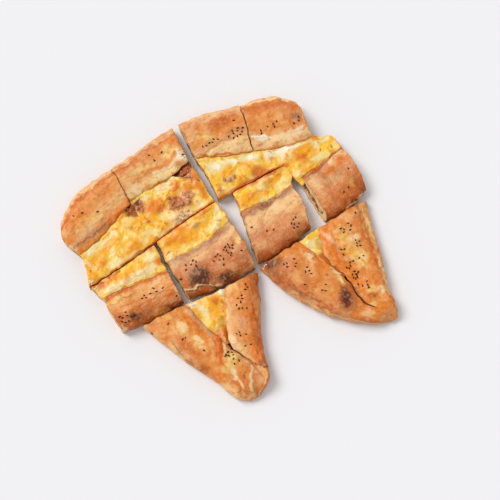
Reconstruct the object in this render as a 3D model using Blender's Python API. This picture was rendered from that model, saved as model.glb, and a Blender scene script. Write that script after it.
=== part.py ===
"""A minced meat pide, cut up as it is served: eight slices in two rows and its two pointed ends.

Every piece is a sheet of dough whose outer edge is folded up and over the filling. Minced meat lies on the
dough and runs into the fold, and baked cheese lies on the meat, between the lips of the folds.
X runs along the pide, Y across it and Z up. The underside is at Z = 0. Sizes are in millimetres until a
mesh is made.
"""

import math

import bmesh
import bpy
import numpy as np
from mathutils import Matrix, Vector
from mathutils.bvhtree import BVHTree

MM = 0.001

# The middle of the whole plan, which becomes the origin
PLAN_CENTRE = (-12.5, 8.5)

# The layers, from the underside up
SHEET = 4.0
MEAT_TOP = 9.0
CHEESE_TOP = 13.2
LIP_HEIGHT = 13.7
CRUST_HEIGHT = 18.5
CLEARANCE = 0.4

# How much the layers rise and fall together, as a share of their height, and over what length
SWELL = 0.07
SWELL_LENGTH = 75.0

# Low relief on what shows from above
CRUST_RELIEF = 0.45
CHEESE_RELIEF = 0.7
RELIEF_LENGTH = 21.0
CRUST_SHOWS = LIP_HEIGHT - 0.1
CHEESE_SHOWS = CHEESE_TOP - 0.5

SLICE_STEPS = 8
TIP_STATIONS = (0, 0.1, 0.2, 0.3, 0.4, 0.5, 0.57, 0.66, 0.75, 0.84, 0.92, 0.97, 1)
POCKET_END = 0.5
OPEN_ENOUGH = 15.0
SPARE_FOLD_POINTS = (4, 15)

# A nigella seed: length, width and height
SEED_SIZE = (2.7, 1.35, 1.3)
SEED_SUNK = 0.25
SEED_SPACING = 2.9
CRUMB_SUNK = 0.6
CRUMB_SPACING = 5.2

# Across a slice, 0 is the outer edge of the fold, 1 its lip and 2 the long cut. Each pair is (across, height).
FOLD_TOP = (
    (0.09, 0.0),
    (0.025, 2.2),
    (0.0, 6.0),
    (0.02, 10.5),
    (0.09, 14.5),
    (0.2, 17.2),
    (0.36, CRUST_HEIGHT),
    (0.54, 18.3),
    (0.72, 17.2),
    (0.87, 16.0),
    (0.965, 14.8),
    (1.0, LIP_HEIGHT),
)
FOLD_UNDER = (
    (0.97, LIP_HEIGHT - 0.8),
    (0.86, LIP_HEIGHT - 1.0),
    (0.78, MEAT_TOP + 1.6),
    (0.5, MEAT_TOP + 1.4),
    (0.24, MEAT_TOP + 1.2),
    (0.165, 8.5),
    (0.165, 6.0),
    (0.22, SHEET + 0.3),
)
SHEET_TOP = ((1.1, SHEET), (2.0, SHEET))
SHEET_UNDER = ((2.0, 0.0), (1.0, 0.0))
DOUGH_SECTION = FOLD_TOP + FOLD_UNDER + SHEET_TOP + SHEET_UNDER
MEAT_FOLD = (
    (0.25, SHEET + 0.7),
    (0.195, 6.1),
    (0.195, 8.4),
    (0.26, MEAT_TOP + 0.7),
    (0.5, MEAT_TOP + 0.9),
    (0.8, MEAT_TOP + 0.7),
    (0.9, MEAT_TOP),
)
MEAT_SECTION = MEAT_FOLD + (
    (1.0, MEAT_TOP),
    (1.985, MEAT_TOP),
    (1.985, SHEET + CLEARANCE),
    (1.0, SHEET + CLEARANCE),
)
CHEESE_EDGE = (
    (0.885, MEAT_TOP + CLEARANCE),
    (0.87, 10.6),
    (0.9, LIP_HEIGHT - 1.6),
    (1.0, LIP_HEIGHT - 1.4),
)
CHEESE_SECTION = CHEESE_EDGE + (
    (1.08, CHEESE_TOP - 0.4),
    (1.25, CHEESE_TOP),
    (1.45, CHEESE_TOP - 0.1),
    (1.7, CHEESE_TOP),
    (1.9, CHEESE_TOP - 0.2),
    (1.98, CHEESE_TOP - 1.0),
    (1.985, MEAT_TOP + CLEARANCE),
    (1.0, MEAT_TOP + CLEARANCE),
)

# The slices as they lie. edge and lip give Y at even shares of the length, cut gives it at the ends and
# middle, and left and right give X at ACROSS_ENDS. lean moves the left end's X for each millimetre of height.
# bare is where the cheese leaves the meat uncovered at the lip.
ACROSS_ENDS = (0, 0.5, 1, 1.35, 2)
SLICES = {
    "A1": dict(
        edge=(121, 140.5, 146, 149),
        lip=(80.5, 86, 95, 103),
        cut=(46.5, 49.5, 54),
        left=(-161, -165.5, -158.5, -159, -166),
        right=(-85, -85.3, -86, -85.5, -85),
        lean=0.05,
        bare=(1.0, 0.12, 0.16),
    ),
    "A2": dict(
        edge=(149, 151, 154.5, 156.5),
        lip=(106, 107.5, 107.5, 113.5),
        cut=(54.5, 59.5, 62),
        left=(-83.6, -84, -84.7, -84.2, -83.8),
        right=(-6.5, -8.7, -9, -8.5, -7.5),
        lean=0.0,
        bare=(0.88, 0.2, 0.28),
    ),
    "A3": dict(
        edge=(156, 154, 148.5, 142.5),
        lip=(113, 103, 95, 89),
        cut=(61.5, 61.5, 60.5),
        left=(0.5, -1, -2.5, -1, -3),
        right=(68, 62, 55, 56, 58),
        lean=0.05,
    ),
    "A4": dict(
        edge=(142, 139, 133.5, 115),
        lip=(88, 79.5, 73.5, 70.5),
        cut=(60.5, 59, 57),
        left=(69.4, 63.4, 56.3, 57.3, 59.2),
        right=(123, 121, 119.5, 133, 138),
        lean=0.0,
    ),
    "B1": dict(
        edge=(-12.5, -15, -17, -15.5),
        lip=(29, 27.5, 25, 22.5),
        cut=(45, 48, 52.5),
        left=(-158, -160, -159.5, -162, -165),
        right=(-88, -87.5, -87, -86.5, -85),
        lean=0.1,
    ),
    "B2": dict(
        edge=(-15.5, -20.5, -22, -22),
        lip=(30, 28, 29, 35),
        cut=(53, 58, 60.5),
        left=(-82, -83.2, -84, -83.5, -82.5),
        right=(-5, -3, -4, -4.5, -6),
        lean=0.1,
    ),
    "B3": dict(
        edge=(-19, -20.5, -18.5, -13),
        lip=(37, 36.5, 34, 37),
        cut=(60, 60, 58.5),
        left=(-1, 4, 10, 11.5, 13),
        right=(65, 72, 72, 73.5, 75),
        lean=0.05,
    ),
    "B4": dict(
        edge=(-15.5, -16, -14, -7),
        lip=(37.5, 40, 44, 46.5),
        cut=(57.3, 57.2, 55.5),
        left=(82.5, 82, 81, 79, 76.5),
        right=(138, 141, 139, 138.5, 138),
        lean=0.27,
    ),
}

# The pointed ends. base gives the cut's Y at even shares of its width and point the Y of the far end. left,
# right and lip give X at POINT_SHARES of the way to the point: the outer edges and the right fold's lip.
# opening is the space between the two lips there, and height the share of the full height.
POINT_SHARES = (0, 0.25, 0.5, 0.75, 0.93, 1)
TIPS = {
    "T1": dict(
        base=(-16.8, -18.6, -23.6, -26),
        point=-137.5,
        left=(-138, -126, -113, -98, -89, -80),
        right=(-6, -18.5, -34, -44.5, -53, -66),
        lip=(-44, -59, -68, -56, -59, -71),
        opening=(43, 22, 2.2, 1.2, 1.2, 1.2),
        height=(0.94, 1.0, 1.0, 0.92, 0.74, 0.36),
        over=1.6,
    ),
    "T2": dict(
        base=(-23.6, -20.2, -17.6, -16.8),
        point=-139.5,
        left=(-2, 6.5, 21, 43, 69, 85),
        right=(132, 122.5, 114.5, 104, 100.5, 97),
        lip=(72, 62.5, 71, 74, 88, 92),
        opening=(25, 3.5, 1.2, 1.2, 1.2, 1.2),
        height=(0.94, 1.0, 1.0, 0.92, 0.74, 0.36),
        over=0.8,
    ),
}

# Where the seeds fell: middle (x, y), spread (x, y) and how many
SEEDS = {
    "A1": ((-132, 117, 26, 9, 3),),
    "A2": ((-38, 135, 8, 6, 3), (-12, 121, 1, 1, 1)),
    "A3": ((20, 119, 8, 1.6, 6), (49, 114, 9, 4.5, 10), (53, 127, 1, 1, 1)),
    "A4": ((86, 102, 15, 3.4, 6), (110, 97, 8, 8, 3)),
    "B1": ((-110, 8, 15, 5, 7), (-146, -1, 8.5, 5.5, 9), (-91, -7, 1, 1, 1)),
    "B2": ((-62, 13, 8, 4.5, 6), (-35, 3, 6, 7, 7), (-21, 8, 4.6, 5, 10), (-10, 1, 1, 1, 1), (-79, 5, 1, 1, 1)),
    "B3": ((11, 17, 1, 1, 1), (29, 5, 6, 3, 2), (53, -1, 7, 5.5, 7)),
    "B4": ((132, 21, 1, 1, 1), (117, 2, 5, 2, 2)),
    "T1": (
        (-122, -28, 11, 3, 2),
        (-107, -49, 3, 4, 2),
        (-94, -71, 1, 1, 1),
        (-24, -34, 6, 5, 3),
        (-36, -48, 7, 8, 8),
        (-55, -76, 7, 4, 4),
        (-54, -89, 4, 2, 2),
        (-74, -87, 4.5, 3, 7),
        (-72, -97, 6, 6, 3),
    ),
    "T2": (
        (27, -35, 7, 9, 6),
        (39, -54, 3.5, 6, 4),
        (29, -64, 1, 1, 1),
        (45, -76, 4, 4, 3),
        (97, -34, 8, 5, 6),
        (81, -53, 3.5, 4.5, 3),
        (98, -53, 4, 5, 5),
        (96, -67, 6, 5, 2),
        (81, -69, 5.5, 3.6, 5),
        (80, -80, 4, 3.4, 8),
        (80, -93, 8, 7, 5),
        (114, -23, 1, 1, 1),
    ),
}

# Where crumbs of mince stand out of the cheese: middle, spread, how many and how wide
CRUMBS = {
    "A1": ((-97, 93, 7, 4, 4, 4.5),),
    "A2": ((-42, 88, 9, 9, 9, 5.0), (-36, 70, 9, 6, 6, 4.5), (-70, 80, 8, 8, 3, 4.0)),
    "A3": ((18, 76, 6, 4, 4, 4.5),),
}

# Colour, roughness
FINISHES = {
    "dough": ((0.66, 0.36, 0.17, 1.0), 0.55),
    "meat": ((0.23, 0.09, 0.05, 1.0), 0.6),
    "cheese": ((0.87, 0.6, 0.16, 1.0), 0.4),
}


def clear_scene():
    for item in list(bpy.data.objects):
        bpy.data.objects.remove(item, do_unlink=True)


def finish_of(name):
    """A plain material for one kind of layer, made once."""
    if name in bpy.data.materials:
        return bpy.data.materials[name]
    colour, roughness = FINISHES[name]
    material = bpy.data.materials.new(name)
    material.use_nodes = True
    shader = material.node_tree.nodes["Principled BSDF"]
    shader.inputs["Base Color"].default_value = colour
    shader.inputs["Roughness"].default_value = roughness
    shader.inputs["Metallic"].default_value = 0.0
    return material


def through(shares, values, at):
    """A smooth curve through the values: a cubic on each stretch, with slopes taken from the neighbours."""
    shares = np.asarray(shares, float)
    values = np.asarray(values, float)
    slopes = np.gradient(values, shares)
    first = np.clip(np.searchsorted(shares, at) - 1, 0, len(shares) - 2)
    width = shares[first + 1] - shares[first]
    t = np.clip((at - shares[first]) / width, 0, 1)
    start = (1 + 2 * t) * (1 - t) ** 2 * values[first] + t * (1 - t) ** 2 * width * slopes[first]
    end = t**2 * (3 - 2 * t) * values[first + 1] + t**2 * (t - 1) * width * slopes[first + 1]
    return start + end


def ripple(x, y, length, seed):
    """Smooth rise and fall within about -1 and 1: six sine waves of about this length, at seeded angles."""
    draw = np.random.default_rng(seed)
    total = 0.0
    for _ in range(6):
        turn, phase = draw.uniform(0, 2 * math.pi, 2)
        pace = 2 * math.pi / (length * draw.uniform(0.7, 1.5))
        total = total + np.sin(pace * (x * math.cos(turn) + y * math.sin(turn)) + phase)
    return total / 3.5


def swell(x, y):
    """The factor on every height at a place, so that the layers rise and fall together."""
    lifted_lip = 0.1 * np.exp(-(((x + 18) / 16) ** 2) - ((y - 112) / 14) ** 2)
    return 1 + SWELL * ripple(x, y, SWELL_LENGTH, 5) + lifted_lip


def slice_place(slice_, along, across, height):
    """X and Y of a point of a slice: even shares between its ends and, across, from edge to lip to cut."""
    thirds = (0, 1 / 3, 2 / 3, 1)
    edge = through(thirds, slice_["edge"], along)
    lip = through(thirds, slice_["lip"], along)
    cut = through((0, 0.5, 1), slice_["cut"], along)
    y = np.where(across <= 1, edge + (lip - edge) * across, lip + (cut - lip) * (across - 1))
    left = through(ACROSS_ENDS, slice_["left"], across) + slice_["lean"] * height
    right = through(ACROSS_ENDS, slice_["right"], across)
    return left + (right - left) * along, y


def slice_rings(slice_, section, relief, above, seed, bare=(0.5, 1, 0)):
    """Rings of points along a slice, each one its section. relief is added to what lies above a height.

    bare draws the section back from the lip: where along the slice, over what share and how far across.
    """
    across, height = np.array(section).T
    along = np.linspace(0, 1, SLICE_STEPS + 1)[:, None]
    drawn_back = bare[2] * np.exp(-(((along - bare[0]) / bare[1]) ** 2))
    across = across[None, :] + (2 - across[None, :]) * drawn_back
    x, y = slice_place(slice_, along, across, height[None, :])
    z = height * swell(x, y)
    z = z + np.where(height > above, relief * ripple(x, y, RELIEF_LENGTH, seed), 0)
    return np.stack([x, y, z], axis=-1)


def tip_lines(tip, q):
    """The X of the two outer edges and the two lips, and the share of the height, q of the way to the point."""
    left, right, lip, opening, height = (
        through(POINT_SHARES, tip[key], q) for key in ("left", "right", "lip", "opening", "height")
    )
    right_lip = np.minimum(lip, right - 5)
    left_lip = right_lip - np.maximum(opening, 1.2)
    return left, np.maximum(left_lip, left + 4), right_lip, right, height


def tip_place(tip, q, x, left, right):
    """Y of a point at X, q of the way from the cut to the point."""
    share = (x - left) / (right - left)
    base = through((0, 1 / 3, 2 / 3, 1), tip["base"], share)
    return base + (tip["point"] - base) * q


def tip_dough_rings(tip, seed):
    """Rings of the dough from the cut to the point: two folds whose lips close to a groove over the pocket."""
    rings = []
    under = np.array(FOLD_UNDER)
    count = len(under)
    # Beyond the pocket the inner points stand down the two walls of the groove between the lips
    groove = np.column_stack([np.ones(count), np.linspace(LIP_HEIGHT - 0.8, LIP_HEIGHT - 4.2, count)])
    for q in TIP_STATIONS:
        left, left_lip, right_lip, right, share = tip_lines(tip, q)
        inner = groove if q > POCKET_END else under
        floor = (1.0, inner[-1][1] - 0.3)
        fold = np.vstack([FOLD_TOP, inner, [floor]])
        fold = np.delete(fold, SPARE_FOLD_POINTS, axis=0)
        across, height = fold.T
        over = np.where(height > 11, tip["over"] * np.clip(across * 2 - 1, 0, 1), 0)
        right_x = right + (right_lip - right) * across
        left_x = left + (left_lip - left) * across
        x = np.concatenate([right_x, left_x[::-1]])
        z = np.concatenate([height + over, height[::-1]])
        top = np.concatenate([height, height[::-1]]) > CRUST_SHOWS
        y = tip_place(tip, q, x, left, right)
        pleats = 0.1 * np.clip((q - 0.7) / 0.2, 0, 1) * np.cos((x - left) / (right - left) * 4.5 * math.pi)
        z = z * share * swell(x, y) * (1 + np.where(top, pleats, 0))
        z = z + np.where(top, CRUST_RELIEF * ripple(x, y, RELIEF_LENGTH, seed), 0)
        rings.append(np.column_stack([x, y, z]))
    return np.array(rings)


def tip_filling_rings(tip, fold, middle, relief, seed):
    """Rings of a filling in the pocket: its fold section on both sides, and heights between the lips."""
    rings = []
    across, height = np.array(fold).T
    for q in [station for station in TIP_STATIONS if station <= POCKET_END]:
        q = min(q, POCKET_END - 0.02)
        left, left_lip, right_lip, right, share = tip_lines(tip, q)
        right_x = right + (right_lip - right) * across
        left_x = left + (left_lip - left) * across
        spread = np.linspace(0, 1, len(middle) + 2)[1:-1]
        middle_x = right_lip + (left_lip - right_lip) * spread
        open_share = np.clip((right_lip - left_lip) / OPEN_ENOUGH, 0, 1)
        middle_z = height[-1] + (np.array(middle) - height[-1]) * open_share
        x = np.concatenate([right_x, middle_x, left_x[::-1]])
        z = np.concatenate([height, middle_z, height[::-1]])
        y = tip_place(tip, q, x, left, right)
        bumps = np.where(z > CHEESE_SHOWS, relief * open_share * ripple(x, y, RELIEF_LENGTH, seed), 0)
        rings.append(np.column_stack([x, y, z * share * swell(x, y) + bumps]))
    return np.array(rings)


def solid_from_rings(name, rings, finish):
    """A closed mesh from rings of points in a row: faces between the rings, and one over each end."""
    count, size = rings.shape[:2]
    points = rings.reshape(-1, 3) - (*PLAN_CENTRE, 0)
    index = np.arange(count * size).reshape(count, size)
    beside = np.roll(index, -1, axis=1)
    faces = np.stack([index[:-1], beside[:-1], beside[1:], index[1:]], axis=-1).reshape(-1, 4).tolist()
    faces += [index[0][::-1].tolist(), index[-1].tolist()]
    mesh = bpy.data.meshes.new(name)
    mesh.from_pydata((points * MM).tolist(), [], faces)
    shape = bmesh.new()
    shape.from_mesh(mesh)
    bmesh.ops.triangulate(shape, faces=shape.faces)
    bmesh.ops.recalc_face_normals(shape, faces=shape.faces)
    shape.to_mesh(mesh)
    shape.free()
    mesh.shade_smooth()
    mesh.set_sharp_from_angle(angle=math.radians(50))
    solid = bpy.data.objects.new(name, mesh)
    mesh.materials.append(finish_of(finish))
    bpy.context.scene.collection.objects.link(solid)
    return solid


def scatter(places, spacing, seed):
    """Where the small things of one piece lie: (x, y, heading, size, place), drawn inside each place's spread.

    One that would come closer to another than the spacing is drawn again, a little further out each time.
    """
    draw = np.random.default_rng(seed)
    rows = []
    for place in places:
        x, y, wide, deep, count = place[:5]
        for _ in range(count):
            for attempt in range(40):
                turn = draw.uniform(0, 2 * math.pi)
                reach = math.sqrt(draw.uniform(0, 1)) * (1 + 0.02 * attempt)
                at = (x + wide * reach * math.cos(turn), y + deep * reach * math.sin(turn))
                if all(math.dist(at, row[:2]) > spacing for row in rows):
                    break
            rows.append((*at, draw.uniform(0, math.pi), draw.uniform(0.88, 1.12), place))
    return rows


def seed_shape(shape):
    """A three-cornered seed, pointed at both ends, one unit each way: the hull of two triangles and two tips."""
    shape.verts.new((-0.5, 0, 0))
    shape.verts.new((0.5, 0, 0))
    for x, reach in ((-0.2, 0.55), (0.17, 0.5)):
        for turn in (90, 210, 330):
            angle = math.radians(turn)
            shape.verts.new((x, reach * math.cos(angle), reach * math.sin(angle)))
    bmesh.ops.convex_hull(shape, input=shape.verts)


def crumb_shape(shape):
    """A round crumb, one unit each way."""
    bmesh.ops.create_icosphere(shape, subdivisions=1, radius=0.5)


def small_piece(name, make, at, normal, heading, size, sunk):
    """A small shape stretched to a size, lying on a surface and sunk into it a little."""
    shape = bmesh.new()
    make(shape)
    mesh = bpy.data.meshes.new(name)
    shape.to_mesh(mesh)
    shape.free()
    lie = normal.to_track_quat("Z", "Y").to_matrix().to_4x4()
    stretch = Matrix.Diagonal((*(side * MM for side in size), 1))
    place = Matrix.Translation(at + normal * (0.5 - sunk) * size[2] * MM)
    mesh.transform(place @ lie @ Matrix.Rotation(heading, 4, "Z") @ stretch)
    return bpy.data.objects.new(name, mesh)


def fuse_on(host, places, make, size_of, spacing, sunk, seed):
    """Joins small pieces to the upper side of a solid with one Boolean union."""
    bm = bmesh.new()
    bm.from_mesh(host.data)
    surface = BVHTree.FromBMesh(bm)
    bm.free()
    group = bpy.data.collections.new("on " + host.name)
    for x, y, heading, share, place in scatter(places, spacing, seed):
        start = Vector(((x - PLAN_CENTRE[0]) * MM, (y - PLAN_CENTRE[1]) * MM, 0.1))
        at, normal, _, _ = surface.ray_cast(start, Vector((0, 0, -1)))
        if at is None or normal.z < 0.5:
            continue
        size = [side * share for side in size_of(place)]
        group.objects.link(small_piece("bit", make, at, normal, heading, size, sunk))
    join = host.modifiers.new("bits", "BOOLEAN")
    join.operation = "UNION"
    join.solver = "EXACT"
    join.operand_type = "COLLECTION"
    join.collection = group
    bpy.context.view_layer.objects.active = host
    bpy.ops.object.modifier_apply(modifier=join.name)
    for bit in list(group.objects):
        bpy.data.objects.remove(bit, do_unlink=True)
    bpy.data.collections.remove(group)


def seed_size(place):
    return SEED_SIZE


def crumb_size(place):
    width = place[5]
    return (width, width * 0.8, width * 0.55)


def build_slice(name, seed):
    slice_ = SLICES[name]
    dough = slice_rings(slice_, DOUGH_SECTION, CRUST_RELIEF, CRUST_SHOWS, seed)
    meat = slice_rings(slice_, MEAT_SECTION, 0, MEAT_TOP, seed)
    bare = slice_.get("bare", (0.5, 1, 0))
    cheese = slice_rings(slice_, CHEESE_SECTION, CHEESE_RELIEF, CHEESE_SHOWS, seed + 50, bare)
    solid_from_rings("dough_" + name, dough, "dough")
    solid_from_rings("meat_" + name, meat, "meat")
    solid_from_rings("cheese_" + name, cheese, "cheese")


def build_tip(name, seed):
    tip = TIPS[name]
    meat_middle = (MEAT_TOP,) * 2
    cheese_middle = (CHEESE_TOP - 0.3, CHEESE_TOP, CHEESE_TOP - 0.3)
    solid_from_rings("dough_" + name, tip_dough_rings(tip, seed), "dough")
    meat_fold = ((1.0, SHEET + CLEARANCE),) + MEAT_FOLD
    cheese_fold = ((1.0, MEAT_TOP + CLEARANCE),) + CHEESE_EDGE
    solid_from_rings("meat_" + name, tip_filling_rings(tip, meat_fold, meat_middle, 0, seed), "meat")
    cheese = tip_filling_rings(tip, cheese_fold, cheese_middle, CHEESE_RELIEF, seed + 50)
    solid_from_rings("cheese_" + name, cheese, "cheese")


def main():
    clear_scene()
    for number, name in enumerate(SLICES):
        build_slice(name, 20 + number)
    for number, name in enumerate(TIPS):
        build_tip(name, 40 + number)
    for number, name in enumerate(SEEDS):
        fuse_on(bpy.data.objects["dough_" + name], SEEDS[name], seed_shape, seed_size, SEED_SPACING, SEED_SUNK, 60 + number)
    for number, name in enumerate(CRUMBS):
        fuse_on(bpy.data.objects["cheese_" + name], CRUMBS[name], crumb_shape, crumb_size, CRUMB_SPACING, CRUMB_SUNK, 80 + number)


main()
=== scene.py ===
"""The looks of a cut-up minced meat pide: its crusts, mince and baked cheese, and what lies on them.

Shapes and marks are worked out in millimetres of the pide's own plan, and moved to the frame's metres when a
mesh is made. X runs along the pide, Y across it and Z up.
"""

import math

import bmesh
import bpy
import numpy as np
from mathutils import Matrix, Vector
from mathutils.bvhtree import BVHTree


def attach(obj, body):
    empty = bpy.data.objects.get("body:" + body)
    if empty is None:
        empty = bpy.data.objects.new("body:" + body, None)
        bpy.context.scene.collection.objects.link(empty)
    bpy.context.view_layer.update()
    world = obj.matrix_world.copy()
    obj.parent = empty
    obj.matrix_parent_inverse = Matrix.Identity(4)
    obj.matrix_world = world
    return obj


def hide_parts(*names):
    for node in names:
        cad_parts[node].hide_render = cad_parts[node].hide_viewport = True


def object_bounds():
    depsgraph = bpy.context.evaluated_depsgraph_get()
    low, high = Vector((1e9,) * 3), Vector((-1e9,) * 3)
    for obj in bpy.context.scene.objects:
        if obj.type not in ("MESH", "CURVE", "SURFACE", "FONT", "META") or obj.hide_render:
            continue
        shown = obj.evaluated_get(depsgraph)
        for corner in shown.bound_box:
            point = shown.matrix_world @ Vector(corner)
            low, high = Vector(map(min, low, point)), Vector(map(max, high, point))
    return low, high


bl_info = {
    "name": "Minced Meat Pide",
    "version": (1, 0, 0),
    "blender": (4, 5, 0),
    "location": "View3D > Sidebar > Pide",
    "description": "Builds the crusts, the mince, the cheese and the seeds of a cut-up pide",
    "category": "Add Mesh",
}

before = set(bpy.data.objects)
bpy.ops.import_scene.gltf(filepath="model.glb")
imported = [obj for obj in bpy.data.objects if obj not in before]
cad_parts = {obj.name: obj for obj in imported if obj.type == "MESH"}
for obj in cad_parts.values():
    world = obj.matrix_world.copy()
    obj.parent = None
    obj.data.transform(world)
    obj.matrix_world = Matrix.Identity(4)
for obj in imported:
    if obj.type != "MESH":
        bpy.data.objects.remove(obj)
CAD_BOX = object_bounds()

MM = 0.001
PLAN_CENTRE = (-12.5, 8.5)

# How much all the layers rise and fall together, and how much the crust's and the cheese's surfaces do
SWELL = 0.07
SWELL_LENGTH = 75.0
CRUST_RELIEF = 0.45
CHEESE_RELIEF = 0.7
RELIEF_LENGTH = 21.0

# How many seeded slopes and points the noises draw
NOISE_POINTS = 512

# How far the cuts and lips waver in the plan, and over what length
WAVER = 0.7
WAVER_LENGTH = 13.0

# Right of this X the cheese of the two rows still hangs together: within what length it joins, and how high
UNBROKEN_FROM = 66.0
UNBROKEN_WITHIN = 12
UNBROKEN_HEIGHT = 13.1

# What the light multiplies and the gloss adds to a surface's colour
GAIN = 0.98
GLOSS = 0.026
LEAST_LIGHT = 0.004

# From this angle on, in degrees, an edge of the cheese is shaded as an edge
SHARP_FROM = 60

# Half the floor's side, the lamp's place from the plan's middle in metres, its spread in degrees, and the
# width of the camera's sensor in millimetres
FLOOR_REACH = 3.0
LAMP_PLACE = (-0.45, 0.8, 1.0)
LAMP_SPREAD = 30
SENSOR_WIDTH = 36

# A slice's length along the pide, and the width from its edge to its lip
SLICE_LENGTH = 76.0
FOLD_WIDTH = 46.0

# A pointed end's length from its cut, the width of its folds, and the length that its sealed share is taken of
TIP_LENGTH = 117.0
TIP_FOLD_WIDTH = 30
SEAL_LENGTH = 115

# How high the groove between an end's folds is filled where they grow together
SEAL_HEIGHT = 15.5

# How many cells thick the crust's skin and the filling's are, and the edges, in millimetres, that are closed up
DOUGH_CELLS = 6
FILLING_CELLS = 4
JOINED = 0.003

# The first seeds of the crusts' rise and fall on the slices and on the pointed ends
SLICE_RELIEF = 20
TIP_RELIEF = 40

# Each layer's section: across and height on its outside, and across and height on its inside. Across a slice,
# 0 is the outer edge of the fold, 1 its lip and 2 the long cut.
DOUGH = np.array((
    (2.0, 0.0, 2.0, 4.0), (1.5, 0.0, 1.5, 4.0), (1.0, 0.0, 1.0, 4.0), (0.5, 0.0, 0.5, 4.0), (0.09, 0.0, 0.22, 4.3),
    (0.025, 2.2, 0.185, 5.0), (0.0, 6.0, 0.165, 6.2), (0.02, 10.5, 0.165, 8.0), (0.09, 14.5, 0.19, 9.5),
    (0.2, 17.2, 0.24, 10.2), (0.36, 18.5, 0.36, 10.3), (0.54, 18.3, 0.5, 10.4), (0.72, 17.2, 0.7, 10.5),
    (0.87, 16.0, 0.79, 10.8), (0.965, 14.8, 0.86, 12.6), (1.0, 13.7, 0.97, 12.9),
))
DOUGH_HIDDEN = 4.5
DOUGH_EDGE = 6.0
MEAT_FOLD = np.array((
    (0.21, 8.6, 0.2, 5.4), (0.3, 9.75, 0.3, 4.45), (0.5, 9.9, 0.5, 4.4), (0.8, 9.7, 0.8, 4.4), (0.9, 9.15, 0.9, 4.4),
    (1.0, 9.2, 1.0, 4.4),
))
MEAT = np.vstack([MEAT_FOLD, ((1.5, 9.3, 1.5, 4.4), (1.985, 9.3, 1.985, 4.4))])
CHEESE_FOLD = np.array((
    (0.87, 10.9, 0.885, 9.5), (0.9, 12.1, 0.9, 9.4), (1.0, 12.3, 1.0, 9.4),
))
CHEESE = np.vstack([CHEESE_FOLD, (
    (1.08, 12.8, 1.08, 9.4), (1.25, 13.2, 1.25, 9.4), (1.45, 13.1, 1.45, 9.4), (1.7, 13.2, 1.7, 9.4),
    (1.9, 13.0, 1.9, 9.4), (1.983, 12.6, 1.998, 9.4),
)])

# Where the extra lines over a rounded end lie, as shares of its radius
ROUNDING = np.array((0, 0.06, 0.25, 0.55, 1))

# The slices as they lie. edge and lip give Y at even shares of the length, cut gives it at the ends and
# middle, and left and right give X at ACROSS_ENDS. lean moves the left end's X for each millimetre of height.
# bare is where the cheese leaves the mince uncovered at the lip. The values named cheese_ hold for the cheese
# alone: its long cut, its lean, and its ends where it runs on into the next slice's.
ACROSS_ENDS = (0, 0.5, 1, 1.35, 2)
SLICES = {
    "A1": dict(
        edge=(121, 140.5, 146, 149), lip=(80.5, 86, 95, 103), cut=(46.5, 49.5, 54),
        left=(-161, -165.5, -158.5, -159, -166), right=(-84.6, -84.7, -85.2, -84.9, -84.7), lean=0.05,
        bare=(1.0, 0.12, 0.16), cheese_cut=(46.0, 49.0, 53.35), cheese_right=(-84.3,) * 5,
    ),
    "A2": dict(
        edge=(149, 151, 154.5, 156.5), lip=(106, 107.5, 107.5, 113.5), cut=(54.5, 59.5, 62),
        left=(-84.0, -84.2, -84.7, -84.2, -84.0), right=(-6.5, -8.7, -9, -8.5, -7.5), lean=0.0,
        bare=(0.88, 0.2, 0.28), cheese_cut=(53.6, 58.75, 61.35), cheese_left=(-84.3,) * 5,
    ),
    "A3": dict(
        edge=(156, 154, 148.5, 142.5), lip=(113, 103, 95, 89), cut=(61.5, 61.5, 60.5), left=(0.5, -1, -2.5, -1, -3),
        right=(68.3, 62.3, 55.3, 56.3, 58.3), lean=0.05, cheese_cut=(60.8, 60.85, 60.7),
        cheese_right=(55.65, 55.65, 55.65, 56.65, 58.6),
    ),
    "A4": dict(
        edge=(142, 139, 133.5, 115), lip=(88, 79.5, 73.5, 70.5), cut=(60.5, 59, 57),
        left=(69.0, 63.0, 56.0, 57.0, 58.9), right=(123, 121, 119.5, 133, 138), lean=0.0,
        cheese_left=(55.65, 55.65, 55.65, 56.65, 58.6), cheese_cut=(60.9, 56.3, 54.7),
    ),
    "B1": dict(
        edge=(-12.5, -15, -17, -15.5), lip=(29, 27.5, 25, 22.5), cut=(45, 48, 52.5),
        left=(-158, -160, -159.5, -162, -165), right=(-88, -87.5, -87, -86.5, -85), lean=0.1,
        cheese_cut=(45.5, 48.5, 53.05),
    ),
    "B2": dict(
        edge=(-15.5, -20.5, -22, -22), lip=(30, 28, 29, 35), cut=(53, 58, 60.5), left=(-82, -83.2, -84, -83.5, -82.5),
        right=(-5, -3, -4, -4.5, -6), lean=0.1, cheese_cut=(54.6, 58.85, 61.2),
    ),
    "B3": dict(
        edge=(-19, -20.5, -18.5, -13), lip=(37, 36.5, 34, 37), cut=(60, 60, 58.5), left=(-1, 4, 10, 11.5, 13),
        right=(65, 72, 72, 73.5, 75), lean=0.05, cheese_cut=(60.75, 60.2, 59.0),
        cheese_right=(65, 72, 72, 76.9, 76.9),
    ),
    "B4": dict(
        edge=(-15.5, -16, -14, -7), lip=(37.5, 40, 44, 46.5), cut=(57.3, 57.2, 55.5), left=(82.5, 82, 81, 79, 76.5),
        right=(138, 141, 139, 138.5, 138), lean=0.27, cheese_cut=(59.4, 59.1, 57.9),
        cheese_left=(82.5, 82, 79, 77, 77), cheese_lean=0.0,
    ),
}

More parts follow.
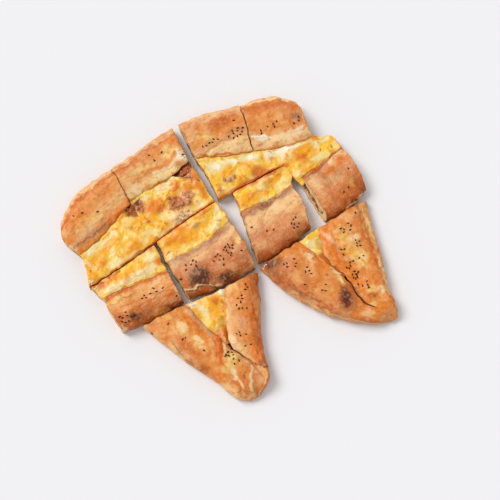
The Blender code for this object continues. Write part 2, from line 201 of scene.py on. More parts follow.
# The pointed ends. base gives the cut's Y at even shares of its width and point the Y of the far end. left,
# right and lip give X at POINT_SHARES of the way to the point: the outer edges and the right fold's lip.
# opening is the space between the two lips there, height the share of the full height, over how far the right
# fold stands above the left one, and sealed the share of the way from which the two folds grow together.
POINT_SHARES = (0, 0.25, 0.5, 0.75, 0.93, 1)
POCKET_END = 0.5
GROOVE_START = 0.57
TIPS = {
    "T1": dict(
        base=(-16.8, -18.6, -23.6, -26), point=-137.5, left=(-138, -126, -113, -98, -89, -80),
        right=(-6, -18.5, -34, -44.5, -53, -66), lip=(-44, -59, -68, -56, -59, -71),
        opening=(43, 22, 2.2, 1.2, 1.2, 1.2), height=(0.94, 1.0, 1.0, 0.92, 0.74, 0.36), over=1.6, sealed=0.68,
        cheese_end=-61,
    ),
    "T2": dict(
        base=(-23.6, -20.2, -17.6, -16.8), point=-139.5, left=(-2, 6.5, 21, 43, 69, 85),
        right=(132, 122.5, 114.5, 104, 100.5, 97), lip=(72, 62.5, 71, 74, 88, 92),
        opening=(25, 3.5, 1.6, 1.6, 1.2, 1.2), height=(0.94, 1.0, 1.0, 0.92, 0.74, 0.36), over=0.8, sealed=0.82,
        cheese_end=-43,
    ),
}

# A nigella seed: length, width and height, and how the seeds lie
SEED_SIZE = (2.7, 1.35, 1.3)
SEED_SHOWN = 1.12
SEED_SUNK = 0.25
SEED_SPACING = 2.9
CRUMB_SUNK = 0.6
CRUMB_SPACING = 5.2
SEED_DRAW = 60
CRUMB_DRAW = 80
SHADE_DRAW = 90
BIT_SPACING = 1.6

# Nothing comes to rest on a surface whose normal rises less than this
STEEPEST = 0.45

# Where the seeds fell: middle (x, y), spread (x, y) and how many
SEEDS = {
    "A1": ((-132, 117, 26, 9, 3),),
    "A2": ((-38, 135, 8, 6, 3), (-12, 121, 1, 1, 1)),
    "A3": ((20, 119, 8, 1.6, 6), (49, 114, 9, 4.5, 10), (53, 127, 1, 1, 1)),
    "A4": ((86, 102, 15, 3.4, 6), (110, 97, 8, 8, 3)),
    "B1": ((-110, 8, 15, 5, 7), (-146, -1, 8.5, 5.5, 9), (-91, -7, 1, 1, 1)),
    "B2": ((-62, 13, 8, 4.5, 6), (-35, 3, 6, 7, 7), (-21, 8, 4.6, 5, 10), (-10, 1, 1, 1, 1), (-79, 5, 1, 1, 1)),
    "B3": ((11, 17, 1, 1, 1), (29, 5, 6, 3, 2), (53, -1, 7, 5.5, 7)),
    "B4": ((132, 21, 1, 1, 1), (117, 2, 5, 2, 2)),
    "T1": (
        (-122, -28, 11, 3, 2), (-107, -49, 3, 4, 2), (-94, -71, 1, 1, 1), (-24, -34, 6, 5, 3), (-36, -48, 7, 8, 8),
        (-55, -76, 7, 4, 4), (-54, -89, 4, 2, 2), (-74, -87, 4.5, 3, 7), (-72, -97, 6, 6, 3),
    ),
    "T2": (
        (27, -35, 7, 9, 6), (39, -54, 3.5, 6, 4), (29, -64, 1, 1, 1), (45, -76, 4, 4, 3), (97, -34, 8, 5, 6),
        (81, -53, 3.5, 4.5, 3), (98, -53, 4, 5, 5), (96, -67, 6, 5, 2), (81, -69, 5.5, 3.6, 5), (80, -80, 4, 3.4, 8),
        (80, -93, 8, 7, 5), (114, -23, 1, 1, 1),
    ),
}

# Where crumbs of mince stand out of the cheese: middle, spread, how many, how wide and their tone
CRUMBS = {
    "A1": ((-88, 96, 4, 3, 2, 4.0, "mince_red"),),
    "A2": (
        (-44, 80, 8, 6, 5, 5.2, "clay"), (-30, 79, 6, 6, 3, 6.0, "rosy"), (-46, 65, 9, 4, 5, 5.0, "crumb"),
        (-78, 77, 2, 2, 1, 3.4, "browned"),
    ),
    "A3": ((18, 75, 6, 4, 3, 4.0, "ash"),),
}

# How much of a bead of cheese stands against each piece's lip
BEADS = {"A3": 1.0, "A4": 1.0, "A1": 0.6, "A2": 0.5, "T1": 0.0, "T2": 0.0}

# Where the mince lies bare and stands up in lumps: middle, half sizes, its tone and how much of it shows
BARE = ((-84, 97, 10, 7, "mince_dark", 0.35), (-17, 103, 11, 9, "clay", 0.75))

# Where the mince shows through thin cheese: the piece, then middle, half sizes and how pale it is
THIN = {
    "A2": ((-43, 79, 10, 8, 0.1), (-46, 65, 12, 5, 1.0), (-27, 79, 6, 5, 0.5)),
    "A3": ((19, 73, 4, 3, 0.4), (3, 68, 4, 4, 0.6)),
}

# Loose bits: the piece that they lie on, then middle, spread and how many
MINCE_BITS = {
    "cheese_A2_baked": ((-43, 79, 8, 7, 4), (-78, 97, 4, 4, 5)),
    "cheese_A1_baked": ((-87, 97, 4, 4, 3),),
    "mince_A2": ((-18, 103, 9, 6, 12), (-81, 99, 4, 4, 4)),
    "mince_A1": ((-88, 98, 4, 4, 5),),
}
BREAD_CRUMBS = {
    "cheese_A1_baked": ((-161, 50, 3, 2, 6),),
    "cheese_A2_baked": ((-13, 111, 4, 4, 5),),
    "cheese_T1_baked": ((-83, -23, 3, 2, 5),),
    "cheese_B1_baked": ((-160, 39, 3, 3, 3),),
    "crust_A2": ((-13, 120, 4, 5, 8),),
    "crust_T2": ((2, -25, 3, 2, 4),),
}
HERBS = {
    "crust_B4": ((119, 20.5, 4, 3, 9), (108, 18, 3, 2, 3), (131, 21, 3, 3, 2)),
    "crust_T2": ((93, -34, 5, 4, 3),),
    "cheese_T2_baked": ((64, -34, 5, 6, 4),),
    "cheese_A4_baked": ((122, 64, 6, 4, 2),),
}


def ease(start, end, value):
    """A smooth step: 0 at the start, 1 at the end, and a cubic between them."""
    share = np.clip((value - start) / (end - start), 0, 1)
    return share * share * (3 - 2 * share)


def through(shares, values, at):
    """A smooth curve through the values: a cubic on each stretch, with slopes taken from the neighbours."""
    shares = np.asarray(shares, float)
    values = np.asarray(values, float)
    slopes = np.gradient(values, shares)
    first = np.clip(np.searchsorted(shares, at) - 1, 0, len(shares) - 2)
    width = shares[first + 1] - shares[first]
    t = np.clip((at - shares[first]) / width, 0, 1)
    start = (1 + 2 * t) * (1 - t) ** 2 * values[first] + t * (1 - t) ** 2 * width * slopes[first]
    end = t**2 * (3 - 2 * t) * values[first + 1] + t**2 * (t - 1) * width * slopes[first + 1]
    return start + end


def ripple(x, y, length, seed):
    """Smooth rise and fall within about -1 and 1: six sine waves of about this length, at seeded angles."""
    draw = np.random.default_rng(seed)
    total = 0.0
    for _ in range(6):
        turn, phase = draw.uniform(0, 2 * math.pi, 2)
        pace = 2 * math.pi / (length * draw.uniform(0.7, 1.5))
        total = total + np.sin(pace * (x * math.cos(turn) + y * math.sin(turn)) + phase)
    return total / 3.5


def swell(x, y):
    """The factor on every height at a place, so that the layers rise and fall together."""
    lifted_lip = 0.1 * np.exp(-(((x + 18) / 16) ** 2) - ((y - 112) / 14) ** 2)
    return 1 + SWELL * ripple(x, y, SWELL_LENGTH, 5) + lifted_lip


def lattice_number(order, at):
    """A number for each corner of a lattice: its three coordinates, mixed one after the other by a seeded order."""
    mixed = order[at[:, 0] % NOISE_POINTS]
    mixed = order[(mixed + at[:, 1]) % NOISE_POINTS]
    return order[(mixed + at[:, 2]) % NOISE_POINTS]


def smooth_noise(points, size, seed):
    """Noise of about -1 to 1: seeded slopes at the corners of a lattice, blended by a quintic curve."""
    draw = np.random.default_rng(seed)
    slopes = draw.normal(size=(NOISE_POINTS, 3))
    slopes /= np.linalg.norm(slopes, axis=1)[:, None]
    order = draw.permutation(NOISE_POINTS)
    place = points / np.asarray(size, float)
    cell = np.floor(place).astype(int)
    inside = place - cell
    blend = inside**3 * (inside * (inside * 6 - 15) + 10)
    total = 0.0
    for corner in np.ndindex(2, 2, 2):
        at = cell + corner
        slope = slopes[lattice_number(order, at)]
        near = np.where(corner, blend, 1 - blend).prod(axis=1)
        total = total + near * ((inside - corner) * slope).sum(axis=1)
    return 1.6 * total


def lump_noise(points, size, seed):
    """0 at the middle of a lump and about 1 between lumps: how far the nearest of one seeded point a cell is."""
    draw = np.random.default_rng(seed)
    centres = draw.uniform(0, 1, size=(NOISE_POINTS, 3))
    order = draw.permutation(NOISE_POINTS)
    place = points / np.asarray(size, float)
    cell = np.floor(place).astype(int)
    inside = place - cell
    nearest = np.full(len(points), 9.0)
    for corner in np.ndindex(3, 3, 3):
        at = cell + corner - 1
        centre = centres[lattice_number(order, at)]
        away = np.linalg.norm(centre + np.array(corner) - 1 - inside, axis=1)
        nearest = np.minimum(nearest, away)
    return np.clip(nearest, 0, 1.2)


def section_at(table, station, depth):
    """Across and height of a layer at a station of its section, blended from its outside to its inside."""
    numbers = np.arange(len(table))
    outer_across, outer_height, inner_across, inner_height = (through(numbers, column, station) for column in table.T)
    across = outer_across + (inner_across - outer_across) * depth
    return across, np.maximum(outer_height + (inner_height - outer_height) * depth, 0)


def section_stations(table, cell, hidden_cell, hidden):
    """Stations along a section: a cell apart on its outside, and further apart before the hidden station."""
    fine = np.linspace(0, len(table) - 1, 60 * len(table))
    across, height = section_at(table, fine, 0.0)
    step = np.hypot(np.diff(across) * FOLD_WIDTH, np.diff(height))
    count = np.concatenate([[0], np.cumsum(step / np.where(fine[:-1] < hidden, hidden_cell, cell))])
    return np.interp(np.linspace(0, count[-1], max(2, round(count[-1])) + 1), count, fine)


def line_places(length, cell, radii):
    """How far along a piece its lines stand: a cell apart, and closer over the rounding of each end."""
    start = ROUNDING * radii[0]
    end = length - ROUNDING[::-1] * radii[1]
    middle = np.linspace(start[-1], end[0], max(2, round((end[0] - start[-1]) / cell)) + 1)[1:-1]
    return np.concatenate([start, middle, end])


def set_back(line, length, radii):
    """How far the surface stands in at each line over the two ends: a quarter of a circle at each."""
    total = 0.0
    for distance, radius in ((line, radii[0]), (length - line, radii[1])):
        total = total + radius * (1 - np.sqrt(1 - np.clip(1 - distance / radius, 0, 1) ** 2))
    return total


def wavered(points):
    """The points moved in the plan by up to WAVER, so that no cut or lip runs quite straight."""
    x, y = points[..., 0], points[..., 1]
    reach = WAVER * (1 - 0.65 * np.exp(-(((y - 56) / 9) ** 2)))
    moved = points.copy()
    moved[..., 0] += reach * ripple(x, y, WAVER_LENGTH, 91)
    moved[..., 1] += reach * ripple(x, y, WAVER_LENGTH, 92)
    return moved


def narrowed(depth, inset, thickness):
    """Depths drawn in from both sides of a layer by the inset, but never past its middle."""
    share = np.minimum(inset / np.maximum(thickness, 0.01), 0.48)
    return share + depth * (1 - 2 * share)


def block_skin(points, marks):
    """The skin of a block of points [line, station, depth]: its points, its four-cornered faces, and the marks
    of each point, which are arrays of the block's own form."""
    shape = points.shape[:3]
    outside = np.ones(shape, bool)
    outside[1:-1, 1:-1, 1:-1] = False
    number = np.full(shape, -1)
    number[outside] = np.arange(outside.sum())
    faces = []
    for axis in range(3):
        for end in (0, -1):
            side = np.take(number, end, axis=axis)
            corners = np.stack([side[:-1, :-1], side[1:, :-1], side[1:, 1:], side[:-1, 1:]], axis=-1).reshape(-1, 4)
            faces.append(corners[:, ::-1] if (end == 0) != (axis == 1) else corners)
    faces = np.concatenate(faces)
    skin = points[outside]
    corner = skin[faces]
    volume = np.einsum("ij,ij->i", corner[:, 0], np.cross(corner[:, 1], corner[:, 2])).sum()
    volume += np.einsum("ij,ij->i", corner[:, 0], np.cross(corner[:, 2], corner[:, 3])).sum()
    if volume < 0:
        faces = faces[:, ::-1]
    return skin, faces, {key: np.broadcast_to(value, shape)[outside] for key, value in marks.items()}


def point_normals(points, faces):
    """Unit normals at the points: the mean of the crossed diagonals of the faces round each."""
    corner = points[faces]
    crossed = np.cross(corner[:, 2] - corner[:, 0], corner[:, 3] - corner[:, 1])
    total = np.zeros_like(points)
    for turn in range(faces.shape[1]):
        for axis in range(3):
            total[:, axis] += np.bincount(faces[:, turn], crossed[:, axis], len(points))
    return total / np.maximum(np.linalg.norm(total, axis=1), 1e-9)[:, None]


def slice_layer(slice_, table, cell, hidden_cell, hidden, radii, layers, part=""):
    """A layer of a slice as a block: its section carried from the slice's left end to its right one.

    part names the keys of the slice that hold for this layer alone, such as cheese_left.
    """
    line = line_places(SLICE_LENGTH, cell, radii)[:, None, None]
    along = line / SLICE_LENGTH
    station = section_stations(table, cell, hidden_cell, hidden)[None, :, None]
    outer = section_at(table, station, 0.0)
    inner = section_at(table, station, 1.0)
    thickness = np.hypot((outer[0] - inner[0]) * FOLD_WIDTH, outer[1] - inner[1])
    depth = narrowed(np.linspace(0, 1, layers + 1)[None, None, :], set_back(line, SLICE_LENGTH, radii), thickness)
    across, height = section_at(table, station + 0 * depth, depth)
    bare = slice_.get("bare", (0.5, 1, 0)) if part == "cheese_" else (0.5, 1, 0)
    shown = across + (2 - across) * bare[2] * np.exp(-(((along - bare[0]) / bare[1]) ** 2))
    thirds = (0, 1 / 3, 2 / 3, 1)
    edge = through(thirds, slice_["edge"], along)
    lip = through(thirds, slice_["lip"], along)
    cut = through((0, 0.5, 1), slice_.get(part + "cut", slice_["cut"]), along)
    y = np.where(shown <= 1, edge + (lip - edge) * shown, lip + (cut - lip) * (shown - 1))
    left = through(ACROSS_ENDS, slice_.get(part + "left", slice_["left"]), shown)
    left = left + slice_.get(part + "lean", slice_["lean"]) * height
    right = through(ACROSS_ENDS, slice_.get(part + "right", slice_["right"]), shown)
    x = left + (right - left) * along
    if part:
        unbroken = ease(UNBROKEN_FROM, UNBROKEN_FROM + UNBROKEN_WITHIN, x) * ease(1.8, 1.95, shown) * (1 - depth)
        height = height + np.maximum(UNBROKEN_HEIGHT - height, 0) * unbroken
    points = np.stack([x, y, height * swell(x, y)], axis=-1)
    marks = {
        "end": np.minimum(line, SLICE_LENGTH - line),
        "station": station,
        "across": across,
        "depth": np.broadcast_to(np.linspace(0, 1, layers + 1), depth.shape),
        "height": height,
        "side": 0,
    }
    return block_skin(wavered(points), marks)


def tip_layer(tip, table, cell, hidden_cell, hidden, radii, layers, last_share, dough):
    """A layer of a pointed end as a block, carried from the cut to the point.

    The section runs along one fold, over the middle and back along the other fold, so station numbers past the
    table's last one belong to the middle and then to the left fold.
    """
    length = TIP_LENGTH * last_share
    line = line_places(length, cell, radii)[:, None, None]
    q = line / length * last_share
    last = len(table) - 1
    half = section_stations(table, cell, hidden_cell, hidden)
    if dough:
        half = half[half > 2][::-1]
        half = np.append(half, 2.0)
        rank = (last - half) / (last - 2)
    else:
        rank = half / last
    middle_cells = np.linspace(0, 1, 12 if dough else 46)[1:-1]
    chain = np.concatenate([half, np.full(len(middle_cells), half[-1]), half[::-1]])[None, :, None]
    middle = np.concatenate([np.zeros(len(half)), middle_cells, np.ones(len(half))])[None, :, None]
    rank = np.concatenate([rank, np.ones(len(middle_cells)), rank[::-1]])[None, :, None]
    left, right, lip, opening, share = (
        through(POINT_SHARES, tip[key], q) for key in ("left", "right", "lip", "opening", "height")
    )
    right_lip = np.minimum(lip, right - 5)
    left_lip = np.maximum(right_lip - np.maximum(opening, 1.2), left + 4)
    outer = section_at(table, chain, 0.0)
    inner = section_at(table, chain, 1.0)
    if dough:
        closed = ease(POCKET_END, GROOVE_START, q)
        filled = ease(tip["sealed"] - 0.08, tip["sealed"] + 0.09, q)
        floor = 12.9 + 2.5 * filled - 3.7 * rank * (1 - filled)
        upper = ease(6, 10, outer[1]) * ease(0.8, 0.9, outer[0])
        outer = (outer[0], outer[1] + np.maximum(SEAL_HEIGHT - outer[1], 0) * filled * upper)
        inner = (inner[0] + (1 - inner[0]) * closed, inner[1] + (floor - inner[1]) * closed)
    thickness = np.hypot((outer[0] - inner[0]) * TIP_FOLD_WIDTH, outer[1] - inner[1])
    even = np.linspace(0, 1, layers + 1)[None, None, :]
    depth = narrowed(even, set_back(line, length, radii), thickness)
    across = outer[0] + (inner[0] - outer[0]) * depth
    height = np.maximum(outer[1] + (inner[1] - outer[1]) * depth, 0)
    if not dough:
        height = height + 4 * middle * (1 - middle) * 0.9 * np.clip((right_lip - left_lip) / 15, 0, 1) * (1 - depth)
    fold = right + (right_lip - right) * across
    x = fold + (left + (left_lip - left) * across - fold) * middle
    away = (x - left) / (right - left)
    base = through((0, 1 / 3, 2 / 3, 1), tip["base"], away)
    y = base + (tip["point"] - base) * q
    raised = height
    if dough:
        over = tip["over"] * ease(tip["sealed"] + 0.12, tip["sealed"], q)
        raised = raised + over * np.clip(across * 2 - 1, 0, 1) * ease(10, 12, height) * (1 - middle)
    pleats = 0.1 * np.clip((q - 0.7) / 0.2, 0, 1) * np.cos(away * 4.5 * math.pi) * ease(12.5, 14.5, height)
    points = np.stack([x, y, raised * share * swell(x, y) * (1 + pleats)], axis=-1)
    marks = {
        "end": line,
        "station": chain,
        "across": across,
        "depth": np.broadcast_to(even, depth.shape),
        "height": height,
        "side": middle,
    }
    return block_skin(wavered(points), marks)


def marks_of(table):
    """The marks of each piece from a table in words: a line with one word opens a piece, and every other line
    is a mark of it, a tone and its numbers."""
    marks = {}
    for word, *numbers in (line.split() for line in table.strip().splitlines()):
        if numbers:
            rows.append((word, *map(float, numbers)))
        else:
            rows = marks[word] = []
    return marks


# The tones that the dough bakes to: each tone and where it lies, from a fold's outer edge, 0, to its lip, 1.
# On B1 to B4, whose outer edges face away from the lamp, the dark and brown tones at the outer edge are partly
# painted shade, and the grey tones at the lips of B2 and B3 are painted shade.
FOLD_TONES = marks_of("""
A1
tan 0
pale .06
pale .13
rust .17
golden .25
tan .45
tan .64
pale .76
golden .84
orange .92
golden 1
A2
tan 0
pale .06
pale .16
rust .2
golden .27
tan .45
tan .66
pale .78
pale .95
tan 1
A3
tan 0
pale .06
pale .19
golden .26
golden .5
tan .6
pale .72
pale .95
tan 1
A4
pale 0
pale .05
golden .1
rust .18
golden .27
tan .45
golden .62
tan .74
pale .82
pale .95
tan 1
B1
brown 0
rust .05
rust .18
rust .36
golden .5
tan .72
tan .88
rust .95
brown 1
B2
dark 0
brown .08
clay .2
rosy .42
rosy .66
pale .84
ash .94
ash 1
B3
dark 0
brown .07
clay .15
rosy .34
rosy .5
pale .6
pale .8
ash .9
clay 1
B4
dark 0
brown .08
clay .18
clay .36
rosy .6
golden .78
pale .88
clay .94
brown 1
T1_right
rust 0
clay .12
rust .24
golden .36
golden .6
tan .8
pale .93
tan 1
T1_left
pale 0
pale .1
tan .2
golden .35
golden .66
orange .82
tan .9
ash 1
T2_right
tan 0
tan .14
rust .19
golden .28
golden .6
orange .85
orange 1
T2_left
rosy 0
pale .04
clay .09
clay .22
golden .42
golden .8
orange .95
golden 1
""")

# Marks on the crusts. A patch is a tone, its strength, X, Y, half length, half width and turn in degrees.
# Some patches are painted shade: the grey and shade patches in A1's groove near X -138 to -126, Y 93, and along
# the lips of B2 near Y 25 to 28 and of B3 near Y 31 to 32. The grey and shade patches in A4's hollow near X 111 to
# 117, Y 96 to 100, the dark patch at B1's outer edge near X -100, Y -14, and the clay, shade, dark and char patches
# beside T2's groove near X 60, Y -98 are partly painted shade.
# Painted highlights: the butter patches on A2 near X -23, Y 132 and on T2's left fold near X 65, Y -78, and the cream
# patch on T1's pleat near X -80, Y -106.
CRUST_PATCHES = marks_of("""
A1
orange .55 -138 112 18 9 10
pale .45 -104 116 14 9 4
tan .6 -112 108 24 6 8
orange .3 -124 121 26 8 12
orange .6 -158 98 6 6 0
rust .5 -148 106 7 4 20
ash .6 -138 93 22 4 9
shade .6 -126 94 8 3 14
ember .6 -104 99 12 3 8
rust .7 -125 82 4 3 0
brown .55 -116 91 6 4 20
orange .7 -128 87 10 4 10
olive .5 -136 84 10 2.5 8
cream .9 -162 90 3 4 0
orange .5 -100 124 9 6 10
orange .35 -142 120 16 8 14
butter .3 -130 108 16 6 8
A2
rosy .4 -30 150 24 4 3
rust .3 -60 140 16 5 4
pale .5 -66 132 13 6 0
butter .5 -48 112 22 4 2
butter .95 -23 132 8 5 10
orange .75 -14 139 7 5 0
orange .4 -36 136 8 6 0
butter .5 -56 128 8 4 0
cream .5 -38 114 14 4 4
cream .6 -74 113 6 8 0
white .95 -15 121 3.5 5 20
white .7 -15 128 3 3 0
shade .8 -11.5 120 2 2 0
clay .6 -20 114 4 2.5 30
orange .8 -60 108 3.5 5 10
rust .5 -46 106 10 2.5 0
A3
rosy .5 10 146 14 5 -4
butter .55 15 126 10 7 -10
rust .95 44 133 17 7 -4
brown .35 42 129 12 4 -4
clay .6 34 135 8 3.5 0
orange .6 56 126 8 5 0
ash .5 50 117 12 3.5 -10
ash .4 21 116 12 3 0
cream .4 32 105 16 4 -12
butter .4 26 108 14 4 -8
butter .4 52 103 6 5 0
pale .6 5 136 9 6 0
orange .7 9 122 8 6 -8
golden .6 25 116 10 4 -8
pale .9 41 112 8 3 -10
orange .4 44 122 14 9 -4
A4
rust .8 99 124 13 5 -14
clay .45 104 121 7 3.5 -20
rust .7 70 133 6 5 0
orange .4 80 112 16 6 -10
ash .85 114 98 6 6 0
shade .5 117 96 3 4 0
rust .7 116 107 5 4 -40
clay .5 108 112 10 8 -30
shade .6 111 100 4 3 0
white .85 70 97 9 3 -28
rust .6 66 92 6 2.2 -10
cream .7 92 86 22 5 -14
white .5 110 84 5 4 0
rosy .6 115 73 5 3 0
B1
butter .45 -146 19 12 3 0
pale .7 -103 17 9 3.5 0
orange .7 -107 22 9 2.5 -4
clay .8 -128 -4 30 5 -6
char .75 -138 -6 7 4.5 -20
clay .5 -150 -5 6 6 0
shade .5 -128 -8 10 4 0
clay .6 -155 4 5 6 0
dark .8 -100 -14 14 3.5 3
olive .35 -112 -13 8 3 0
cream .85 -155 -11 2.5 5 0
pale .7 -88 -1 1.8 5 0
golden .6 -96 3 6 4 0
B2
ash .8 -38 25 22 3.5 4
shade .5 -24 28 10 2.5 8
ash .45 -70 22 9 5 0
butter .7 -9 12 4 5 0
orange .5 -46 -6 5 4 0
ash .5 -14 -5 9 7 0
rosy .5 -28 16 12 6 0
char .85 -60 -1.5 13 11 0
char .75 -59 -5 10 7 -8
char .5 -72 -6 5 4 0
shade .6 -44 -12 9 5 -20
char .95 -35 -15 7.5 4.5 -4
clay .7 -22 -2 14 7 0
clay .5 -44 4 6 7 0
brown .75 -64 -17 20 4 -8
clay .7 -78 2 5 9 0
pale .8 -5 -17 2 4 0
B3
pale .85 50 22 16 7 -18
cream .4 44 23 8 4 -30
pale .5 16 24 9 5 0
ash .9 40 32 26 4 2
shade 1 37 31 8 4 4
shade .9 38 31 5 2.4 4
shade .6 51 32.5 8 2.4 0
rosy .6 24 10 14 7 0
golden .5 62 8 6 5 0
clay .5 40 -8 26 5 6
golden .5 34 3 18 5 2
clay .35 30 1 12 5 0
rosy .6 54 -6 7 4 0
olive .5 52 -14 7 4 0
shade .7 51 -14 6 3.5 0
brown .6 30 -16 24 3 0
pale .8 66 -1 2 6 0
B4
pale .85 94 26 8 7 5
clay .85 104 29 4 5 30
clay .45 126 26 7 5 0
tan .5 112 12 14 7 0
ash .4 100 27 5 6 0
rosy .5 88 12 4 14 0
brown .7 105 24 3 2.4 0
ember .6 114 31 6 4 30
rust .5 115 30 4 3 30
ember .7 130 34 8 4 14
rust .5 131 33 5 3 14
ash .7 119 20.5 5 4 0
olive .5 119.5 20.5 3 2.4 0
ash .6 108 18 6 4 10
olive .3 108 18 3 3 10
tan .8 127 7 5 6 0
rosy .4 100 -6 6 4 0
brown .6 111 -11 9 4 0
rust .5 116 28 8 4 0
clay .5 110 8 10 6 0
golden .5 92 2 5 7 0
rust .7 118 -4 14 4 8
brown .8 133 1 4 6 0
shade .4 129 11 5 3 0
cream .6 84 2 1.6 14 -4
T1
ember .6 -129 -23 6 4 0
butter .4 -113 -22 6 4 0
orange .45 -116 -30 10 8 0
tan .6 -116 -34 7 6 0
butter .45 -103 -41 7 11 8
cream .6 -102 -38 3.4 7 8
butter .5 -95 -61 7 9 8
cream .8 -94 -60 3.4 5.5 8
rosy .6 -112 -66 5 22 14
rust .6 -106 -62 4 16 14
browned .7 -101 -88 7 9 35
rust .7 -110 -56 5 8 20
orange .8 -97 -99 6 7 30
orange .7 -124 -42 4 6 20
clay .6 -114 -75 3 6 20
golden .5 -56 -69 3 4 0
golden .5 -103 -77 5 6 20
clay .4 -31 -47 5 7 0
rust .5 -45 -92 5 6 0
brown .8 -103 -87 5 6 35
orange .7 -92 -104 6 6 0
butter .5 -84 -98 5 5 0
pale .6 -60 -126 6 5 0
tan .7 -85 -70 2.5 11 -6
butter .8 -74 -90 8 4.5 -20
cream .85 -80 -106 3.5 6 0
rust .75 -83 -119 3 9 10
rust .6 -74 -118 3 9 0
rosy .6 -62 -120 6 8 0
pale .7 -75 -135 8 3 0
cream .8 -66 -76 4 14 8
orange .6 -88 -62 3 9 0
butter .5 -76 -96 10 5 10
tan .7 -47 -30 4 12 0
butter .4 -37 -30 6 8 0
rosy .75 -45 -66 5 7 0
orange .6 -38 -38 6 8 0
ember .7 -32 -66 3 16 -24
tan .8 -24 -60 2.5 14 -20
rust .7 -21 -34 5 6 0
dark .5 -13 -36 3 5 0
ember .6 -50 -98 5 8 20
dark .6 -52 -110 3 4 0
T2
char .95 13 -28 9 6 -25
char .6 9 -28 5 4 0
rust .8 1 -21 3 3 0
clay .7 20 -40 14 10 0
shade .7 11 -43 4 5 -40
rust .5 11 -42 5 5 0
shade .5 7 -36 6 6 0
clay .75 10 -50 5 12 24
clay .5 26 -76 5 14 32
rosy .5 27 -34 10 5 0
tan .75 27 -53 7 7 0
clay .6 34 -56 5 6 0
pale .6 25 -83 5 6 20
tan .5 39 -75 5 5 0
clay .6 50 -99 4 5 0
orange .7 57 -58 8 8 0
cream .9 49 -40 4 6 -25
brown .9 54 -66 2 2 0
tan .6 42 -82 9 10 0
butter .9 65 -78 3.2 9 4
clay .75 60 -98 11 17 -22
shade .75 60 -98 8.5 14 -22
dark .85 59 -96 5.6 10.5 -22
char .5 59 -97 4 8 -22
orange .6 58 -118 7 4 0
orange .8 66 -121 4 3 0
pale .8 70 -121 8 4 -20
rosy .5 88 -133 9 5 0
cream .5 76 -34 3 10 14
rust .6 79 -50 3 10 14
butter .35 91 -50 9 28 10
yellow .4 88 -36 6 8 0
cream .75 98 -46 4 5 0
ember .5 106 -34 5 6 0
yellow .4 86 -58 4 10 14
tan .7 89 -33 4 3 0
clay .5 89 -34 4 3 0
orange .6 87 -21 5 4 0
pale .5 101 -37 4 5 0
pale .6 82 -63 3 5 14
golden .6 84 -80 4 5 0
orange .5 92 -92 4 5 0
tan .6 92 -117 4 3 0
butter .7 93 -70 7 8 0
cream .4 95 -68 4 4 0
tan .5 103 -92 6 8 0
ember .75 103 -78 4.5 6 0
rust .6 99 -90 6 5 0
orange .5 76 -76 3 9 0
brown .6 85 -108 5 3.5 0
butter .6 87 -102 5 4 0
cream .85 95 -108 3 5 0
butter .6 81 -114 4 3 0
ember .8 114 -69 4 2.5 0
""")
